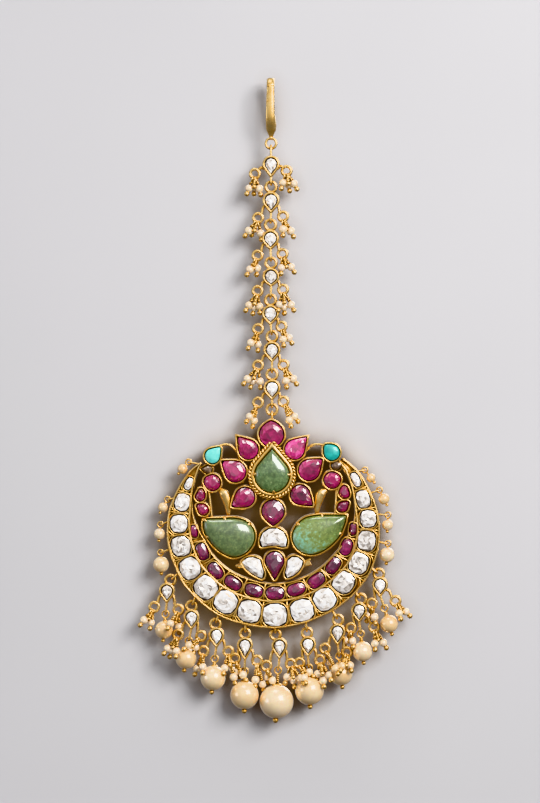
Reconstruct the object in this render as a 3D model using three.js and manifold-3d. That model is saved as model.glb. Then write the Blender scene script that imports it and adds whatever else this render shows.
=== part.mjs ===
// Maang tikka: a hook, a chain of stone-set links and a pierced crescent pendant with pearl drops.
// Millimetres, +Z up. The origin is the inner top of the hook, where the piece hangs.
// The front faces -Y, so outlines are drawn in X and Z and grow from back to front along -Y.

import * as THREE from 'three';
import { mergeVertices } from 'three/addons/utils/BufferGeometryUtils.js';
import Module from 'manifold-3d';

const wasm = await Module();
wasm.setup();

// Driving sizes
const WIRE = 0.22;              // radius of the ring wire
const FINE_WIRE = 0.18;         // radius of the headpin wire
const RING = 1.04;              // wire-centre radius of a chain ring
const DROP_RING = 1.0;          // wire-centre radius of a drop's ring
const PIN_RING = 0.68;          // wire-centre radius of a headpin's loop
const SIDE_RING = 0.56;         // wire-centre radius of a side pearl's loop
const HANG = 0.6;               // wire centre to wire centre where one loop hangs in another
const EYE_HALF = 0.5;           // half width of a soldered eye, front to back
const STONE_GAP = 0.12;         // clearance between a stone and its seat
const BACK = 1.9;               // flat back of the pendant frame
const PLATE = -0.9;             // front of the crescent's plate
const RIM = -1.3;               // front of the crescent's rims
const SEAT = -0.3;              // floor of a stone's seat
const BEZEL_RIM = -1.45;        // front of the bezels inside the crescent
const FLOWER_RIM = -1.6;        // front of the petals' bezels
const HEART_RIM = -2.1;         // front of the bezel round the flower's middle stone
const LINK_BACK = 0.7;          // back of a link's setting
const LINK_RIM = -0.75;         // front of a link's setting
const LINK_RADIUS = 1.62;       // round end of a chain link's setting
const DROP_RADIUS = 1.4;        // round end of a drop's setting
const LINK_WALL = 0.5;          // gold round the stone of a link
const BEZEL_WALL = 0.5;         // gold round a stone inside the crescent
const SMOKY_WALL = 0.4;         // gold round a small brown stone
const STONE_RISE = 0.75;        // how far a flat-cut stone stands above its rim
const FUSED_RISE = 0.4;         // how far a stone of the crescent's rows stands above the rims
const TIP_SINK = 0.45;          // how far an eye's ends reach into a setting's tip
const ARM_DROP = 0.6;           // from the middle of a chain link's setting down to its arms
const DROP_ARM_DROP = 0.9;      // the same for a drop's setting
const LOOP_DROP = 2.15;         // from a setting's tip down to its large pearl's loop
const PEARL_CLEARANCE = 0.15;   // least space between a bunch and a large pearl
const OUTER_RIM_WIDTH = 0.5;    // width of the crescent's outer rim
const MIDDLE_RIM_HALF = 0.2;    // half width of the rim between its two rows
const INNER_RIM_WIDTH = 0.3;    // width of its inner rim
const HOOK_WIDTH = 0.68;        // half width of the hook's flattened wire
const HOOK_BEND = 1.75;         // radius of the hook's bend, at the middle of the wire
const HOOK_FLATNESS = 0.5;      // thickness of that wire as a share of its width
const CUT_CLEAR = 1;            // how far a cut runs past the metal in front of it

const FINISH = {
  gold: { color: 0xc9973f, roughness: 0.32, metalness: 1 },
  diamond: { color: 0xe6e2dc, roughness: 0.15, metalness: 0 },
  ruby: { color: 0x9c1450, roughness: 0.15, metalness: 0 },
  green: { color: 0x5d7a4c, roughness: 0.2, metalness: 0 },
  turquoise: { color: 0x46b6ac, roughness: 0.4, metalness: 0 },
  pearl: { color: 0xefdcc0, roughness: 0.25, metalness: 0 },
};

// Chain links from the top. x, top of the setting's ring (its centre), and the setting's lower tip.
const CHAIN_LINKS = [
  { x: -0.2, ring: null, tip: -19.6 },
  { x: -0.2, ring: -21.4, tip: -26.8 },
  { x: -0.3, ring: -29.0, tip: -34.2 },
  { x: -0.2, ring: -36.6, tip: -41.6 },
  { x: -0.3, ring: -44.0, tip: -49.2 },
  { x: 0.0, ring: -51.3, tip: -56.6 },
  { x: 0.0, ring: -58.9, tip: -64.2 },
];
const HOOK_RING = { x: -0.2, z: -12.7 };
const PENDANT_RING = { x: 0.0, z: -65.9 };
const FIRST_SETTING_TOP = -15.2;

// Each link's bunches of seed pearls: jump ring, middle of the bunch, its lower end and half width.
const CHAIN_BUNCHES = [
  { link: 0, ringX: -3.4, ringZ: -18.8, x: -3.7, z: -21.8, end: -23.5, half: 1.3 },
  { link: 0, ringX: 3.1, ringZ: -18.2, x: 3.2, z: -20.8, end: -22.8, half: 1.3 },
  { link: 1, ringX: -2.8, ringZ: -27.6, x: -3.7, z: -30.4, end: -32.9, half: 1.2 },
  { link: 1, ringX: 2.4, ringZ: -27.3, x: 3.1, z: -30.1, end: -32.1, half: 1.1 },
  { link: 2, ringX: -2.9, ringZ: -35.1, x: -3.8, z: -37.9, end: -40.0, half: 1.2 },
  { link: 2, ringX: 2.2, ringZ: -34.8, x: 3.0, z: -37.8, end: -39.9, half: 1.1 },
  { link: 3, ringX: -2.9, ringZ: -42.2, x: -3.8, z: -45.2, end: -47.4, half: 1.2 },
  { link: 3, ringX: 2.3, ringZ: -41.9, x: 3.0, z: -45.1, end: -47.4, half: 1.2 },
  { link: 4, ringX: -2.8, ringZ: -49.8, x: -3.6, z: -52.7, end: -54.9, half: 1.1 },
  { link: 4, ringX: 1.9, ringZ: -49.3, x: 2.6, z: -52.0, end: -54.0, half: 0.8 },
  { link: 5, ringX: -2.8, ringZ: -57.1, x: -3.5, z: -60.2, end: -61.9, half: 1.3 },
  { link: 5, ringX: 2.4, ringZ: -57.0, x: 3.4, z: -60.0, end: -62.2, half: 1.1 },
  { link: 6, ringX: -2.8, ringZ: -64.5, x: -4.0, z: -67.8, end: -69.8, half: 0.75 },
  { link: 6, ringX: 2.4, ringZ: -64.3, x: 3.9, z: -67.6, end: -69.8, half: 0.75 },
];

// Drops from left to right: ring, setting (middle of its round end and lower tip) and large pearl.
const DROPS = [
  { rimX: -18.4, rimZ: -98.4, ringX: -20.3, ringZ: -100.0, x: -21.0, z: -102.1, tip: -104.7,
    pearlX: -21.6, pearlZ: -110.0, pearl: 1.8 },
  { rimX: -15.1, rimZ: -103.0, ringX: -16.1, ringZ: -105.2, x: -16.1, z: -107.4, tip: -110.0,
    pearlX: -17.2, pearlZ: -115.7, pearl: 2.1 },
  { rimX: -10.5, rimZ: -106.5, ringX: -11.3, ringZ: -108.8, x: -11.1, z: -111.0, tip: -113.6,
    pearlX: -11.8, pearlZ: -119.6, pearl: 2.5 },
  { rimX: -5.2, rimZ: -108.3, ringX: -5.4, ringZ: -110.7, x: -5.4, z: -113.0, tip: -116.1,
    pearlX: -5.5, pearlZ: -123.0, pearl: 2.85 },
  { rimX: 0.6, rimZ: -109.0, ringX: 0.7, ringZ: -110.9, x: 1.5, z: -113.1, tip: -115.9,
    pearlX: 0.9, pearlZ: -124.3, pearl: 3.4 },
  { rimX: 6.7, rimZ: -108.0, ringX: 7.0, ringZ: -110.6, x: 7.2, z: -112.8, tip: -115.4,
    pearlX: 7.5, pearlZ: -122.1, pearl: 2.9 },
  { rimX: 11.8, rimZ: -105.7, ringX: 13.2, ringZ: -108.0, x: 13.1, z: -110.3, tip: -113.1,
    pearlX: 13.8, pearlZ: -118.8, pearl: 2.3 },
  { rimX: 16.2, rimZ: -102.0, ringX: 17.8, ringZ: -103.8, x: 17.4, z: -106.0, tip: -108.6,
    pearlX: 18.1, pearlZ: -114.3, pearl: 2.0 },
  { rimX: 19.3, rimZ: -97.2, ringX: 21.4, ringZ: -98.8, x: 21.6, z: -100.9, tip: -103.5,
    pearlX: 23.4, pearlZ: -108.8, pearl: 1.8 },
];
const DROP_BUNCHES = [
  { drop: 0, ringX: -23.5, ringZ: -105.4, x: -25.1, z: -108.6, end: -110.2, half: 1.1 },
  { drop: 0, ringX: -18.7, ringZ: -105.9, x: -19.0, z: -108.7, end: -110.4, half: 0.8 },
  { drop: 1, ringX: -18.5, ringZ: -111.3, x: -20.4, z: -114.4, end: -115.9, half: 0.9 },
  { drop: 1, ringX: -14.0, ringZ: -111.2, x: -14.9, z: -113.6, end: -115.2, half: 0.8 },
  { drop: 2, ringX: -13.8, ringZ: -114.2, x: -14.6, z: -117.6, end: -120.0, half: 0.9 },
  { drop: 2, ringX: -8.7, ringZ: -114.3, x: -8.3, z: -118.0, end: -121.0, half: 0.9 },
  { drop: 3, ringX: -7.6, ringZ: -115.9, x: -6.6, z: -118.6, end: -120.2, half: 0.7 },
  { drop: 3, ringX: -2.8, ringZ: -116.2, x: -2.5, z: -120.0, end: -122.2, half: 0.9 },
  { drop: 4, ringX: -1.1, ringZ: -117.1, x: -0.5, z: -119.2, end: -121.0, half: 0.7 },
  { drop: 4, ringX: 3.8, ringZ: -116.4, x: 4.2, z: -119.8, end: -122.0, half: 0.9 },
  { drop: 5, ringX: 5.4, ringZ: -116.6, x: 5.8, z: -118.4, end: -120.0, half: 0.7 },
  { drop: 5, ringX: 9.6, ringZ: -116.0, x: 9.9, z: -119.4, end: -121.6, half: 0.9 },
  { drop: 6, ringX: 10.6, ringZ: -113.6, x: 12.0, z: -116.2, end: -118.2, half: 0.7 },
  { drop: 6, ringX: 15.0, ringZ: -114.4, x: 15.0, z: -116.4, end: -118.2, half: 0.9 },
  { drop: 7, ringX: 15.8, ringZ: -109.6, x: 16.0, z: -111.6, end: -113.1, half: 0.8 },
  { drop: 7, ringX: 20.4, ringZ: -109.4, x: 21.4, z: -112.8, end: -114.6, half: 1.2 },
  { drop: 8, ringX: 20.0, ringZ: -104.8, x: 20.4, z: -107.0, end: -108.4, half: 0.8 },
  { drop: 8, ringX: 24.7, ringZ: -104.2, x: 26.1, z: -106.8, end: -108.9, half: 1.2 },
];

// Pearls down the crescent's sides: place in the rim, headpin loop, pearl.
const SIDE_PEARLS = [
  { name: 'left_1', rimX: -14.2, rimZ: -76.9, ringX: -16.7, ringZ: -76.4, x: -17.9, z: -77.8, r: 1.0 },
  { name: 'left_2', rimX: -19.2, rimZ: -83.6, ringX: -20.9, ringZ: -83.9, x: -21.8, z: -85.5, r: 1.0 },
  { name: 'left_3', rimX: -20.4, rimZ: -88.2, ringX: -22.3, ringZ: -88.9, x: -22.5, z: -90.8, r: 1.15 },
  { name: 'left_4', rimX: -20.2, rimZ: -93.8, ringX: -22.3, ringZ: -94.5, x: -22.2, z: -96.9, r: 1.6 },
  { name: 'right_1', rimX: 16.6, rimZ: -78.4, ringX: 18.6, ringZ: -78.0, x: 19.8, z: -79.6, r: 0.9 },
  { name: 'right_2', rimX: 19.2, rimZ: -82.8, ringX: 21.5, ringZ: -82.0, x: 22.4, z: -83.8, r: 1.1 },
  { name: 'right_3', rimX: 20.7, rimZ: -86.8, ringX: 23.2, ringZ: -87.0, x: 23.1, z: -89.0, r: 1.1 },
  { name: 'right_4', rimX: 20.8, rimZ: -92.3, ringX: 23.2, ringZ: -92.7, x: 23.0, z: -95.0, r: 1.5 },
];

// Crescent outlines, from the left horn round the bottom to the right horn: [x, z].
const OUTER_EDGE = [
  [-14.3, -76.4], [-16.4, -78.1], [-18.8, -81.6], [-20.6, -86.0], [-21.0, -90.0], [-20.6, -94.0],
  [-18.2, -100.0], [-15.2, -103.6], [-10.8, -107.0], [-5.4, -108.9], [0.4, -109.6], [5.6, -108.8],
  [10.2, -107.1], [13.6, -105.2], [17.2, -102.0], [19.8, -98.2], [21.4, -93.2], [21.5, -88.4],
  [20.6, -84.4], [18.9, -80.7], [17.2, -78.1], [14.2, -75.5],
];
const MIDDLE_EDGE = [
  [-14.6, -77.2], [-15.8, -81.0], [-16.3, -85.0], [-16.5, -89.4], [-15.8, -93.2], [-14.0, -97.2],
  [-10.2, -101.0], [-5.4, -103.3], [0.4, -104.2], [6.0, -103.2], [10.9, -100.7], [14.9, -96.9],
  [16.6, -93.2], [17.1, -89.4], [16.6, -85.2], [16.0, -81.6], [14.8, -78.0],
];
const INNER_EDGE = [
  [-13.7, -76.8], [-14.8, -79.4], [-15.3, -84.0], [-15.0, -87.0], [-14.4, -89.2], [-13.2, -92.2],
  [-11.4, -95.2], [-8.4, -97.9], [-4.4, -99.7], [0.6, -100.6], [5.6, -99.6], [9.6, -97.4],
  [12.6, -94.5], [14.5, -91.6], [15.7, -88.6], [16.0, -86.2], [15.6, -83.0], [14.8, -80.0],
  [13.5, -77.3],
];
const HUB = { x: 0.3, z: -88.6 };   // middle that the crescent's rows of stones face

// Uncut diamonds of the outer row: middle, width across and height along the row.
const OUTER_STONES = [
  { x: -16.6, z: -80.7, across: 1.4, along: 2.5 },
  { x: -17.9, z: -84.4, across: 2.9, along: 3.5 },
  { x: -18.6, z: -88.7, across: 3.3, along: 3.5 },
  { x: -18.2, z: -93.2, across: 3.7, along: 4.0 },
  { x: -16.4, z: -97.6, across: 4.0, along: 4.2 },
  { x: -13.2, z: -101.4, across: 4.4, along: 4.5 },
  { x: -9.2, z: -104.3, across: 4.3, along: 4.5 },
  { x: -4.5, z: -106.2, across: 4.3, along: 4.5 },
  { x: 0.6, z: -106.9, across: 4.4, along: 4.8 },
  { x: 6.0, z: -106.0, across: 4.3, along: 4.6 },
  { x: 10.5, z: -103.8, across: 4.2, along: 4.3 },
  { x: 14.3, z: -100.4, across: 4.1, along: 4.3 },
  { x: 17.3, z: -96.6, across: 3.8, along: 4.1 },
  { x: 18.9, z: -92.1, across: 3.5, along: 3.9 },
  { x: 19.2, z: -87.7, across: 3.1, along: 3.4 },
  { x: 18.2, z: -83.8, across: 2.6, along: 3.6 },
  { x: 16.7, z: -79.9, across: 1.5, along: 2.9 },
];
// Rubies of the inner row, half moons with the flat side inwards.
const INNER_STONES = [
  { x: -15.5, z: -90.2, across: 1.1, along: 2.6 },
  { x: -13.8, z: -94.2, across: 2.0, along: 3.6 },
  { x: -11.2, z: -98.0, across: 2.1, along: 3.7 },
  { x: -7.7, z: -100.4, across: 2.2, along: 3.7 },
  { x: -3.6, z: -101.9, across: 2.3, along: 3.8 },
  { x: 0.6, z: -102.4, across: 2.4, along: 3.8 },
  { x: 4.8, z: -101.7, across: 2.3, along: 3.8 },
  { x: 8.8, z: -99.9, across: 2.2, along: 3.8 },
  { x: 12.1, z: -97.0, across: 2.1, along: 3.7 },
  { x: 14.7, z: -93.3, across: 2.0, along: 3.6 },
  { x: 16.1, z: -89.8, across: 1.1, along: 2.6 },
];

// Drop-shaped stones in bezels: middle of the round end, its radius, and the tip's distance and
// direction (degrees from +X towards +Z). rise is the dome's height above the bezel's rim.
const PEAR_STONES = [
  { name: 'flower_stone', x: 0.0, z: -79.0, r: 3.4, tip: 5.2, angle: 90, finish: 'green',
    wall: 1.3, rim: HEART_RIM, rise: 1.3, sides: 16 },
  { name: 'petal_stone_top', x: -0.1, z: -70.9, r: 2.4, tip: 2.8, angle: 90, finish: 'ruby' },
  { name: 'petal_stone_upper_left', x: -4.7, z: -73.9, r: 1.9, tip: 3.3, angle: 131, finish: 'ruby' },
  { name: 'petal_stone_upper_right', x: 4.5, z: -73.9, r: 1.9, tip: 3.4, angle: 46, finish: 'ruby' },
  { name: 'petal_stone_left', x: -7.3, z: -78.3, r: 2.05, tip: 3.4, angle: 143, finish: 'ruby' },
  { name: 'petal_stone_right', x: 7.4, z: -78.0, r: 2.05, tip: 3.4, angle: 40, finish: 'ruby' },
  { name: 'petal_stone_lower_left', x: -5.4, z: -83.4, r: 1.9, tip: 3.2, angle: 216, finish: 'ruby' },
  { name: 'petal_stone_lower_right', x: 5.6, z: -82.9, r: 1.9, tip: 3.3, angle: 319, finish: 'ruby' },
  { name: 'petal_stone_bottom', x: 0.2, z: -86.2, r: 2.2, tip: 2.9, angle: 270, finish: 'ruby' },
  { name: 'turquoise_left', x: -11.9, z: -75.2, r: 1.45, tip: 2.4, angle: 48, finish: 'turquoise', sides: 9 },
  { name: 'turquoise_right', x: 11.9, z: -74.5, r: 1.55, tip: 2.1, angle: 133, finish: 'turquoise', sides: 9 },
  { name: 'neck_stone_left_1', x: -11.9, z: -80.5, r: 1.55, tip: 1.8, angle: 160, finish: 'ruby', sides: 9 },
  { name: 'neck_stone_right_1', x: 12.0, z: -80.0, r: 1.6, tip: 1.8, angle: 20, finish: 'ruby', sides: 9 },
  { name: 'lotus_stone_middle', x: 0.5, z: -96.1, r: 1.8, tip: 3.7, angle: 270, finish: 'ruby' },
];
// Stones with an outline of their own: [x, z] round the stone, starting at its sharpest corner.
const OUTLINE_STONES = [
  { name: 'body_stone_left', finish: 'green', rise: 1.6, sides: 14,
    outline: [[-13.6, -87.9], [-9.2, -87.7], [-6.0, -87.9], [-3.9, -89.6], [-3.5, -91.5], [-4.9, -94.2],
      [-7.7, -95.3], [-10.6, -94.0], [-12.6, -91.8], [-13.6, -89.8]] },
  { name: 'body_stone_right', finish: 'green', rise: 1.6, sides: 14,
    outline: [[14.8, -87.1], [9.9, -87.1], [6.9, -87.5], [4.9, -89.2], [4.1, -91.2], [4.9, -93.5],
      [7.2, -94.8], [9.6, -94.3], [11.9, -92.8], [13.8, -90.4]] },
  { name: 'neck_stone_left_2', finish: 'ruby', sides: 8,
    outline: [[-15.2, -83.2], [-14.2, -81.5], [-13.4, -83.0], [-13.9, -84.1], [-15.0, -84.1]] },
  { name: 'neck_stone_right_2', finish: 'ruby', sides: 8,
    outline: [[15.5, -82.9], [14.6, -80.9], [13.4, -82.3], [13.8, -83.4], [15.3, -83.5]] },
  { name: 'neck_stone_left_3', finish: 'ruby', sides: 8,
    outline: [[-15.1, -84.9], [-13.2, -84.9], [-12.8, -86.7], [-14.3, -86.8]] },
  { name: 'neck_stone_right_3', finish: 'ruby', sides: 8,
    outline: [[15.4, -84.3], [13.7, -84.4], [12.9, -86.0], [14.6, -86.2]] },
  { name: 'lotus_stone_moon', finish: 'diamond', sides: 12,
    outline: [[-2.3, -93.3], [-2.3, -91.6], [-1.5, -90.2], [0.3, -89.6], [2.1, -90.2], [2.9, -91.6],
      [2.9, -93.3], [0.3, -93.0]] },
  { name: 'lotus_stone_left', finish: 'diamond', sides: 10,
    outline: [[-6.1, -96.3], [-4.8, -95.5], [-2.4, -95.8], [-2.0, -97.4], [-1.5, -99.6], [-3.4, -99.0],
      [-5.0, -97.8]] },
  { name: 'lotus_stone_right', finish: 'diamond', sides: 10,
    outline: [[6.3, -96.3], [4.7, -95.2], [3.3, -95.8], [3.0, -97.2], [2.6, -99.5], [4.0, -99.1],
      [5.3, -98.1]] },
];
// Small brown stones fused to the frame, plain gold feathers and thin strips of the peacocks.
const SMOKY_STONES = [
  { x: -12.8, z: -77.9, r: 0.8, tip: 1.3, angle: 175 },
  { x: 12.8, z: -77.1, r: 0.9, tip: 1.4, angle: 10 },
];
const FEATHERS = [
  [[-10.1, -81.2], [-9.0, -82.2], [-8.2, -84.0], [-8.2, -87.6], [-8.9, -87.6], [-9.7, -84.4],
    [-10.7, -82.6]],
  [[10.1, -81.0], [9.0, -82.2], [8.5, -84.0], [9.2, -87.3], [9.8, -87.3], [9.9, -84.2],
    [11.0, -82.4]],
];
const STRIPS = [
  { points: [[-11.2, -73.3], [-8.8, -72.9], [-7.0, -74.3], [-6.3, -76.4]], width: 0.4 },
  { points: [[10.6, -73.0], [8.4, -72.9], [6.8, -74.1], [5.8, -76.0]], width: 0.4 },
  { points: [[-12.7, -81.6], [-12.0, -87.6]], width: 0.35 },
  { points: [[12.9, -81.4], [12.6, -87.0]], width: 0.35 },
  { points: [[-14.9, -96.0], [-15.9, -93.2]], width: 0.3 },
  { points: [[7.7, -95.7], [6.2, -96.4]], width: 0.4 },
  { points: [[-7.2, -97.2], [-6.0, -96.9]], width: 0.4 },
];

/** Flips a closed geometry whose faces point inwards. */
function facingOut(geometry) {
  const position = geometry.getAttribute('position');
  const index = geometry.getIndex().array;
  const corner = [0, 1, 2].map(() => new THREE.Vector3());
  let volume = 0;
  for (let i = 0; i < index.length; i += 3) {
    corner.forEach((point, k) => point.fromBufferAttribute(position, index[i + k]));
    volume += corner[0].dot(corner[1].clone().cross(corner[2]));
  }
  if (volume < 0) {
    for (let i = 0; i < index.length; i += 3) {
      [index[i], index[i + 1]] = [index[i + 1], index[i]];
    }
  }
  return geometry;
}

/** The closed solid of a geometry. */
function solidOf(geometry) {
  const bare = geometry.index ? geometry.clone() : mergeVertices(geometry);
  bare.deleteAttribute('normal');
  bare.deleteAttribute('uv');
  const merged = facingOut(mergeVertices(bare, 1e-5));
  return new wasm.Manifold(new wasm.Mesh({
    numProp: 3,
    vertProperties: new Float32Array(merged.getAttribute('position').array),
    triVerts: new Uint32Array(merged.getIndex().array),
  }));
}

/** One solid from a list that overlap each other. */
function fuse(solids) {
  return solids.reduce((whole, solid) => whole.add(solid));
}

/** A named mesh of a solid in one of the finishes. */
function node(name, solid, finish) {
  const mesh = solid.getMesh();
  const geometry = new THREE.BufferGeometry();
  geometry.setAttribute('position', new THREE.BufferAttribute(mesh.vertProperties, 3));
  geometry.setIndex(new THREE.BufferAttribute(mesh.triVerts, 1));
  geometry.computeVertexNormals();
  const result = new THREE.Mesh(geometry, new THREE.MeshStandardMaterial(FINISH[finish]));
  result.name = name;
  return result;
}

/** A path whose extrusion steps fall on its knots. */
class KnotPath extends THREE.Curve {
  constructor(knots) {
    super();
    this.knots = knots;
  }

  getPoint(t, target = new THREE.Vector3()) {
    const place = THREE.MathUtils.clamp(t, 0, 1) * (this.knots.length - 1);
    const first = Math.min(Math.floor(place), this.knots.length - 2);
    return target.lerpVectors(this.knots[first], this.knots[first + 1], place - first);
  }

  getPointAt(u, target) {
    return this.getPoint(u, target);
  }

  getTangentAt(u, target = new THREE.Vector3()) {
    const step = 0.5 / (this.knots.length - 1);
    return target.subVectors(this.getPoint(u + step), this.getPoint(u - step)).normalize();
  }
}

/** A wire along knots, with a regular section of the given number of sides, wide by thick. */
function wire(knots, radius, sides = 5, flat = 1) {
  const section = new THREE.Shape(Array.from({ length: sides }, (_, i) => {
    const angle = (2 * Math.PI * i) / sides;
    return new THREE.Vector2(radius * Math.cos(angle), radius * flat * Math.sin(angle));
  }));
  return solidOf(new THREE.ExtrudeGeometry(section, {
    steps: knots.length - 1,
    extrudePath: new KnotPath(knots),
  }));
}

/** A ring lying in the X-Z plane, seen face on. */
function ring(x, z, radius) {
  const torus = new THREE.TorusGeometry(radius, WIRE, 5, 10);
  torus.rotateX(Math.PI / 2);
  torus.translate(x, 0, z);
  return solidOf(torus);
}

/** An eye seen edge on: a bent wire from the anchor that loops through a ring. */
function eye(anchor, ringX, ringZ, ringRadius, thickness = WIRE) {
  const start = new THREE.Vector3(anchor[0], 0, anchor[1]);
  const centre = new THREE.Vector3(ringX, 0, ringZ);
  const along = centre.clone().sub(start).normalize();
  const end = centre.clone().addScaledVector(along, HANG - ringRadius);
  const bend = end.clone().addScaledVector(along, -EYE_HALF);
  const half = new THREE.Vector3(0, EYE_HALF, 0);
  const knots = [start.clone().add(half)];
  for (const degrees of [72, 0, -72]) {
    const angle = THREE.MathUtils.degToRad(degrees);
    knots.push(bend.clone()
      .addScaledVector(along, EYE_HALF * Math.cos(angle))
      .addScaledVector(half, Math.sin(angle)));
  }
  knots.push(start.clone().sub(half));
  return wire(knots, thickness);
}

/** A closed outline as a slab from y = back to y = front. */
function slab(outline, back, front) {
  const shape = new THREE.Shape(outline.map(([x, z]) => new THREE.Vector2(x, z)));
  const geometry = new THREE.ExtrudeGeometry(shape, { depth: back - front, bevelEnabled: false });
  geometry.rotateX(Math.PI / 2);
  geometry.translate(0, back, 0);
  return solidOf(geometry);
}

/** A solid through scaled copies of one outline, a layer for each { y, scale }. */
function loft(points, layers) {
  const outline = anticlockwise(points);
  const count = outline.length;
  const middle = centreOf(outline);
  const positions = [];
  for (const { y, scale } of layers) {
    for (const [x, z] of outline) {
      positions.push(middle[0] + (x - middle[0]) * scale, y, middle[1] + (z - middle[1]) * scale);
    }
  }
  const index = [];
  for (let layer = 0; layer < layers.length - 1; layer += 1) {
    for (let i = 0; i < count; i += 1) {
      const a = layer * count + i;
      const b = layer * count + ((i + 1) % count);
      index.push(a, b, b + count, a, b + count, a + count);
    }
  }
  const faces = THREE.ShapeUtils.triangulateShape(outline.map(([x, z]) => new THREE.Vector2(x, z)), []);
  const last = (layers.length - 1) * count;
  for (const [a, b, c] of faces) {
    index.push(a, c, b, last + a, last + b, last + c);
  }
  const geometry = new THREE.BufferGeometry();
  geometry.setAttribute('position', new THREE.Float32BufferAttribute(positions, 3));
  geometry.setIndex(index);
  return solidOf(geometry);
}

/** The mean of an outline's points. */
function centreOf(outline) {
  const total = outline.reduce(([x, z], point) => [x + point[0], z + point[1]], [0, 0]);
  return [total[0] / outline.length, total[1] / outline.length];
}

/** An outline in anticlockwise order, as seen with +X to the right and +Z up. */
function anticlockwise(outline) {
  const doubleArea = outline.reduce((sum, [x, z], i) => {
    const [nextX, nextZ] = outline[(i + 1) % outline.length];
    return sum + x * nextZ - nextX * z;
  }, 0);
  return doubleArea > 0 ? outline : [...outline].reverse();
}

/** An outline moved outwards by a distance, with its sharp corners trimmed. */
function grow(outline, distance) {
  const points = anticlockwise(outline);
  return points.map(([x, z], i) => {
    const before = points[(i + points.length - 1) % points.length];
    const after = points[(i + 1) % points.length];
    const first = new THREE.Vector2(z - before[1], before[0] - x).normalize();
    const second = new THREE.Vector2(after[1] - z, x - after[0]).normalize();
    const normal = first.clone().add(second).normalize();
    const reach = distance / Math.max(normal.dot(first), 0.62);
    return [x + normal.x * reach, z + normal.y * reach];
  });
}

/** A drop outline: a round end with straight flanks to a tip. */
function pear(x, z, radius, tip, degrees, sides = 12) {
  const turned = THREE.MathUtils.degToRad(degrees);
  const touch = Math.acos(Math.min(radius / tip, 0.98));
  const points = [[x + tip * Math.cos(turned), z + tip * Math.sin(turned)]];
  for (let i = 0; i < sides - 1; i += 1) {
    const angle = turned + touch + ((2 * Math.PI - 2 * touch) * i) / (sides - 2);
    points.push([x + radius * Math.cos(angle), z + radius * Math.sin(angle)]);
  }
  return points;
}

/** Evenly spaced points of a smooth curve, closed with one corner at its first point. */
function smooth(points, sides) {
  const vectors = [...points, points[0]].map(([x, z]) => new THREE.Vector3(x, z, 0));
  const curve = new THREE.CatmullRomCurve3(vectors, false, 'centripetal');
  return curve.getSpacedPoints(sides).slice(0, sides).map((point) => [point.x, point.y]);
}

/** Evenly spaced points of a smooth open curve. */
function smoothOpen(points, steps) {
  const curve = new THREE.CatmullRomCurve3(
    points.map(([x, z]) => new THREE.Vector3(x, z, 0)), false, 'centripetal');
  return curve.getSpacedPoints(steps).map((point) => [point.x, point.y]);
}

/** A band of even width along a line, as a closed outline. */
function band(line, width) {
  const side = (sign) => line.map(([x, z], i) => {
    const before = line[Math.max(i - 1, 0)];
    const after = line[Math.min(i + 1, line.length - 1)];
    const along = new THREE.Vector2(after[0] - before[0], after[1] - before[1]).normalize();
    return [x - along.y * sign * width * 0.5, z + along.x * sign * width * 0.5];
  });
  return [...side(1), ...side(-1).reverse()];
}

/** A line's points moved towards the crescent's hub. */
function towardsHub(line, distance) {
  return line.map(([x, z]) => {
    const inward = new THREE.Vector2(HUB.x - x, HUB.z - z).normalize();
    return [x + inward.x * distance, z + inward.y * distance];
  });
}

/** The outline of a sunk row between two of the crescent's lines, less a rim on each side. */
function channel(outer, outerRim, inner, innerRim) {
  return [...towardsHub(outer, outerRim), ...towardsHub(inner, -innerRim).reverse()];
}

/** A stone's outline in the crescent, a rounded square turned to face the hub. */
function rowStone({ x, z, across, along }, sides, halfMoon) {
  const out = new THREE.Vector2(x - HUB.x, z - HUB.z).normalize();
  return Array.from({ length: sides }, (_, i) => {
    const angle = (2 * Math.PI * (i + 0.5)) / sides;
    const squared = (value) => Math.sign(value) * Math.abs(value) ** 0.7;
    let u = squared(Math.cos(angle)) * across * 0.5;
    const v = squared(Math.sin(angle)) * along * 0.5;
    if (halfMoon && u < 0) {
      u *= 0.75;
    }
    return [x + out.x * u - out.y * v, z + out.y * u + out.x * v];
  });
}

/** A flat-cut stone: straight sides to the rim, then facets up to a table. */
function cutStone(outline, rim) {
  return loft(outline, [
    { y: SEAT - STONE_GAP, scale: 1 },
    { y: rim, scale: 1 },
    { y: rim - STONE_RISE, scale: 0.6 },
  ]);
}

/** A flat-cut stone that is fused to its setting: facets from the metal up to a table. */
function facetedTop(outline, metal, table) {
  const sunk = 0.2;
  const slope = 0.35 / (metal - table);
  return loft(outline, [
    { y: metal + sunk, scale: 1 + slope * sunk },
    { y: table, scale: 0.65 },
  ]);
}

/** A cabochon: a dome of three steps with a small flat top. */
function cabochon(outline, rim, rise) {
  return loft(outline, [
    { y: SEAT - STONE_GAP, scale: 1 },
    { y: rim, scale: 1 },
    { y: rim - rise * 0.65, scale: 0.82 },
    { y: rim - rise, scale: 0.42 },
  ]);
}

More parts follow.
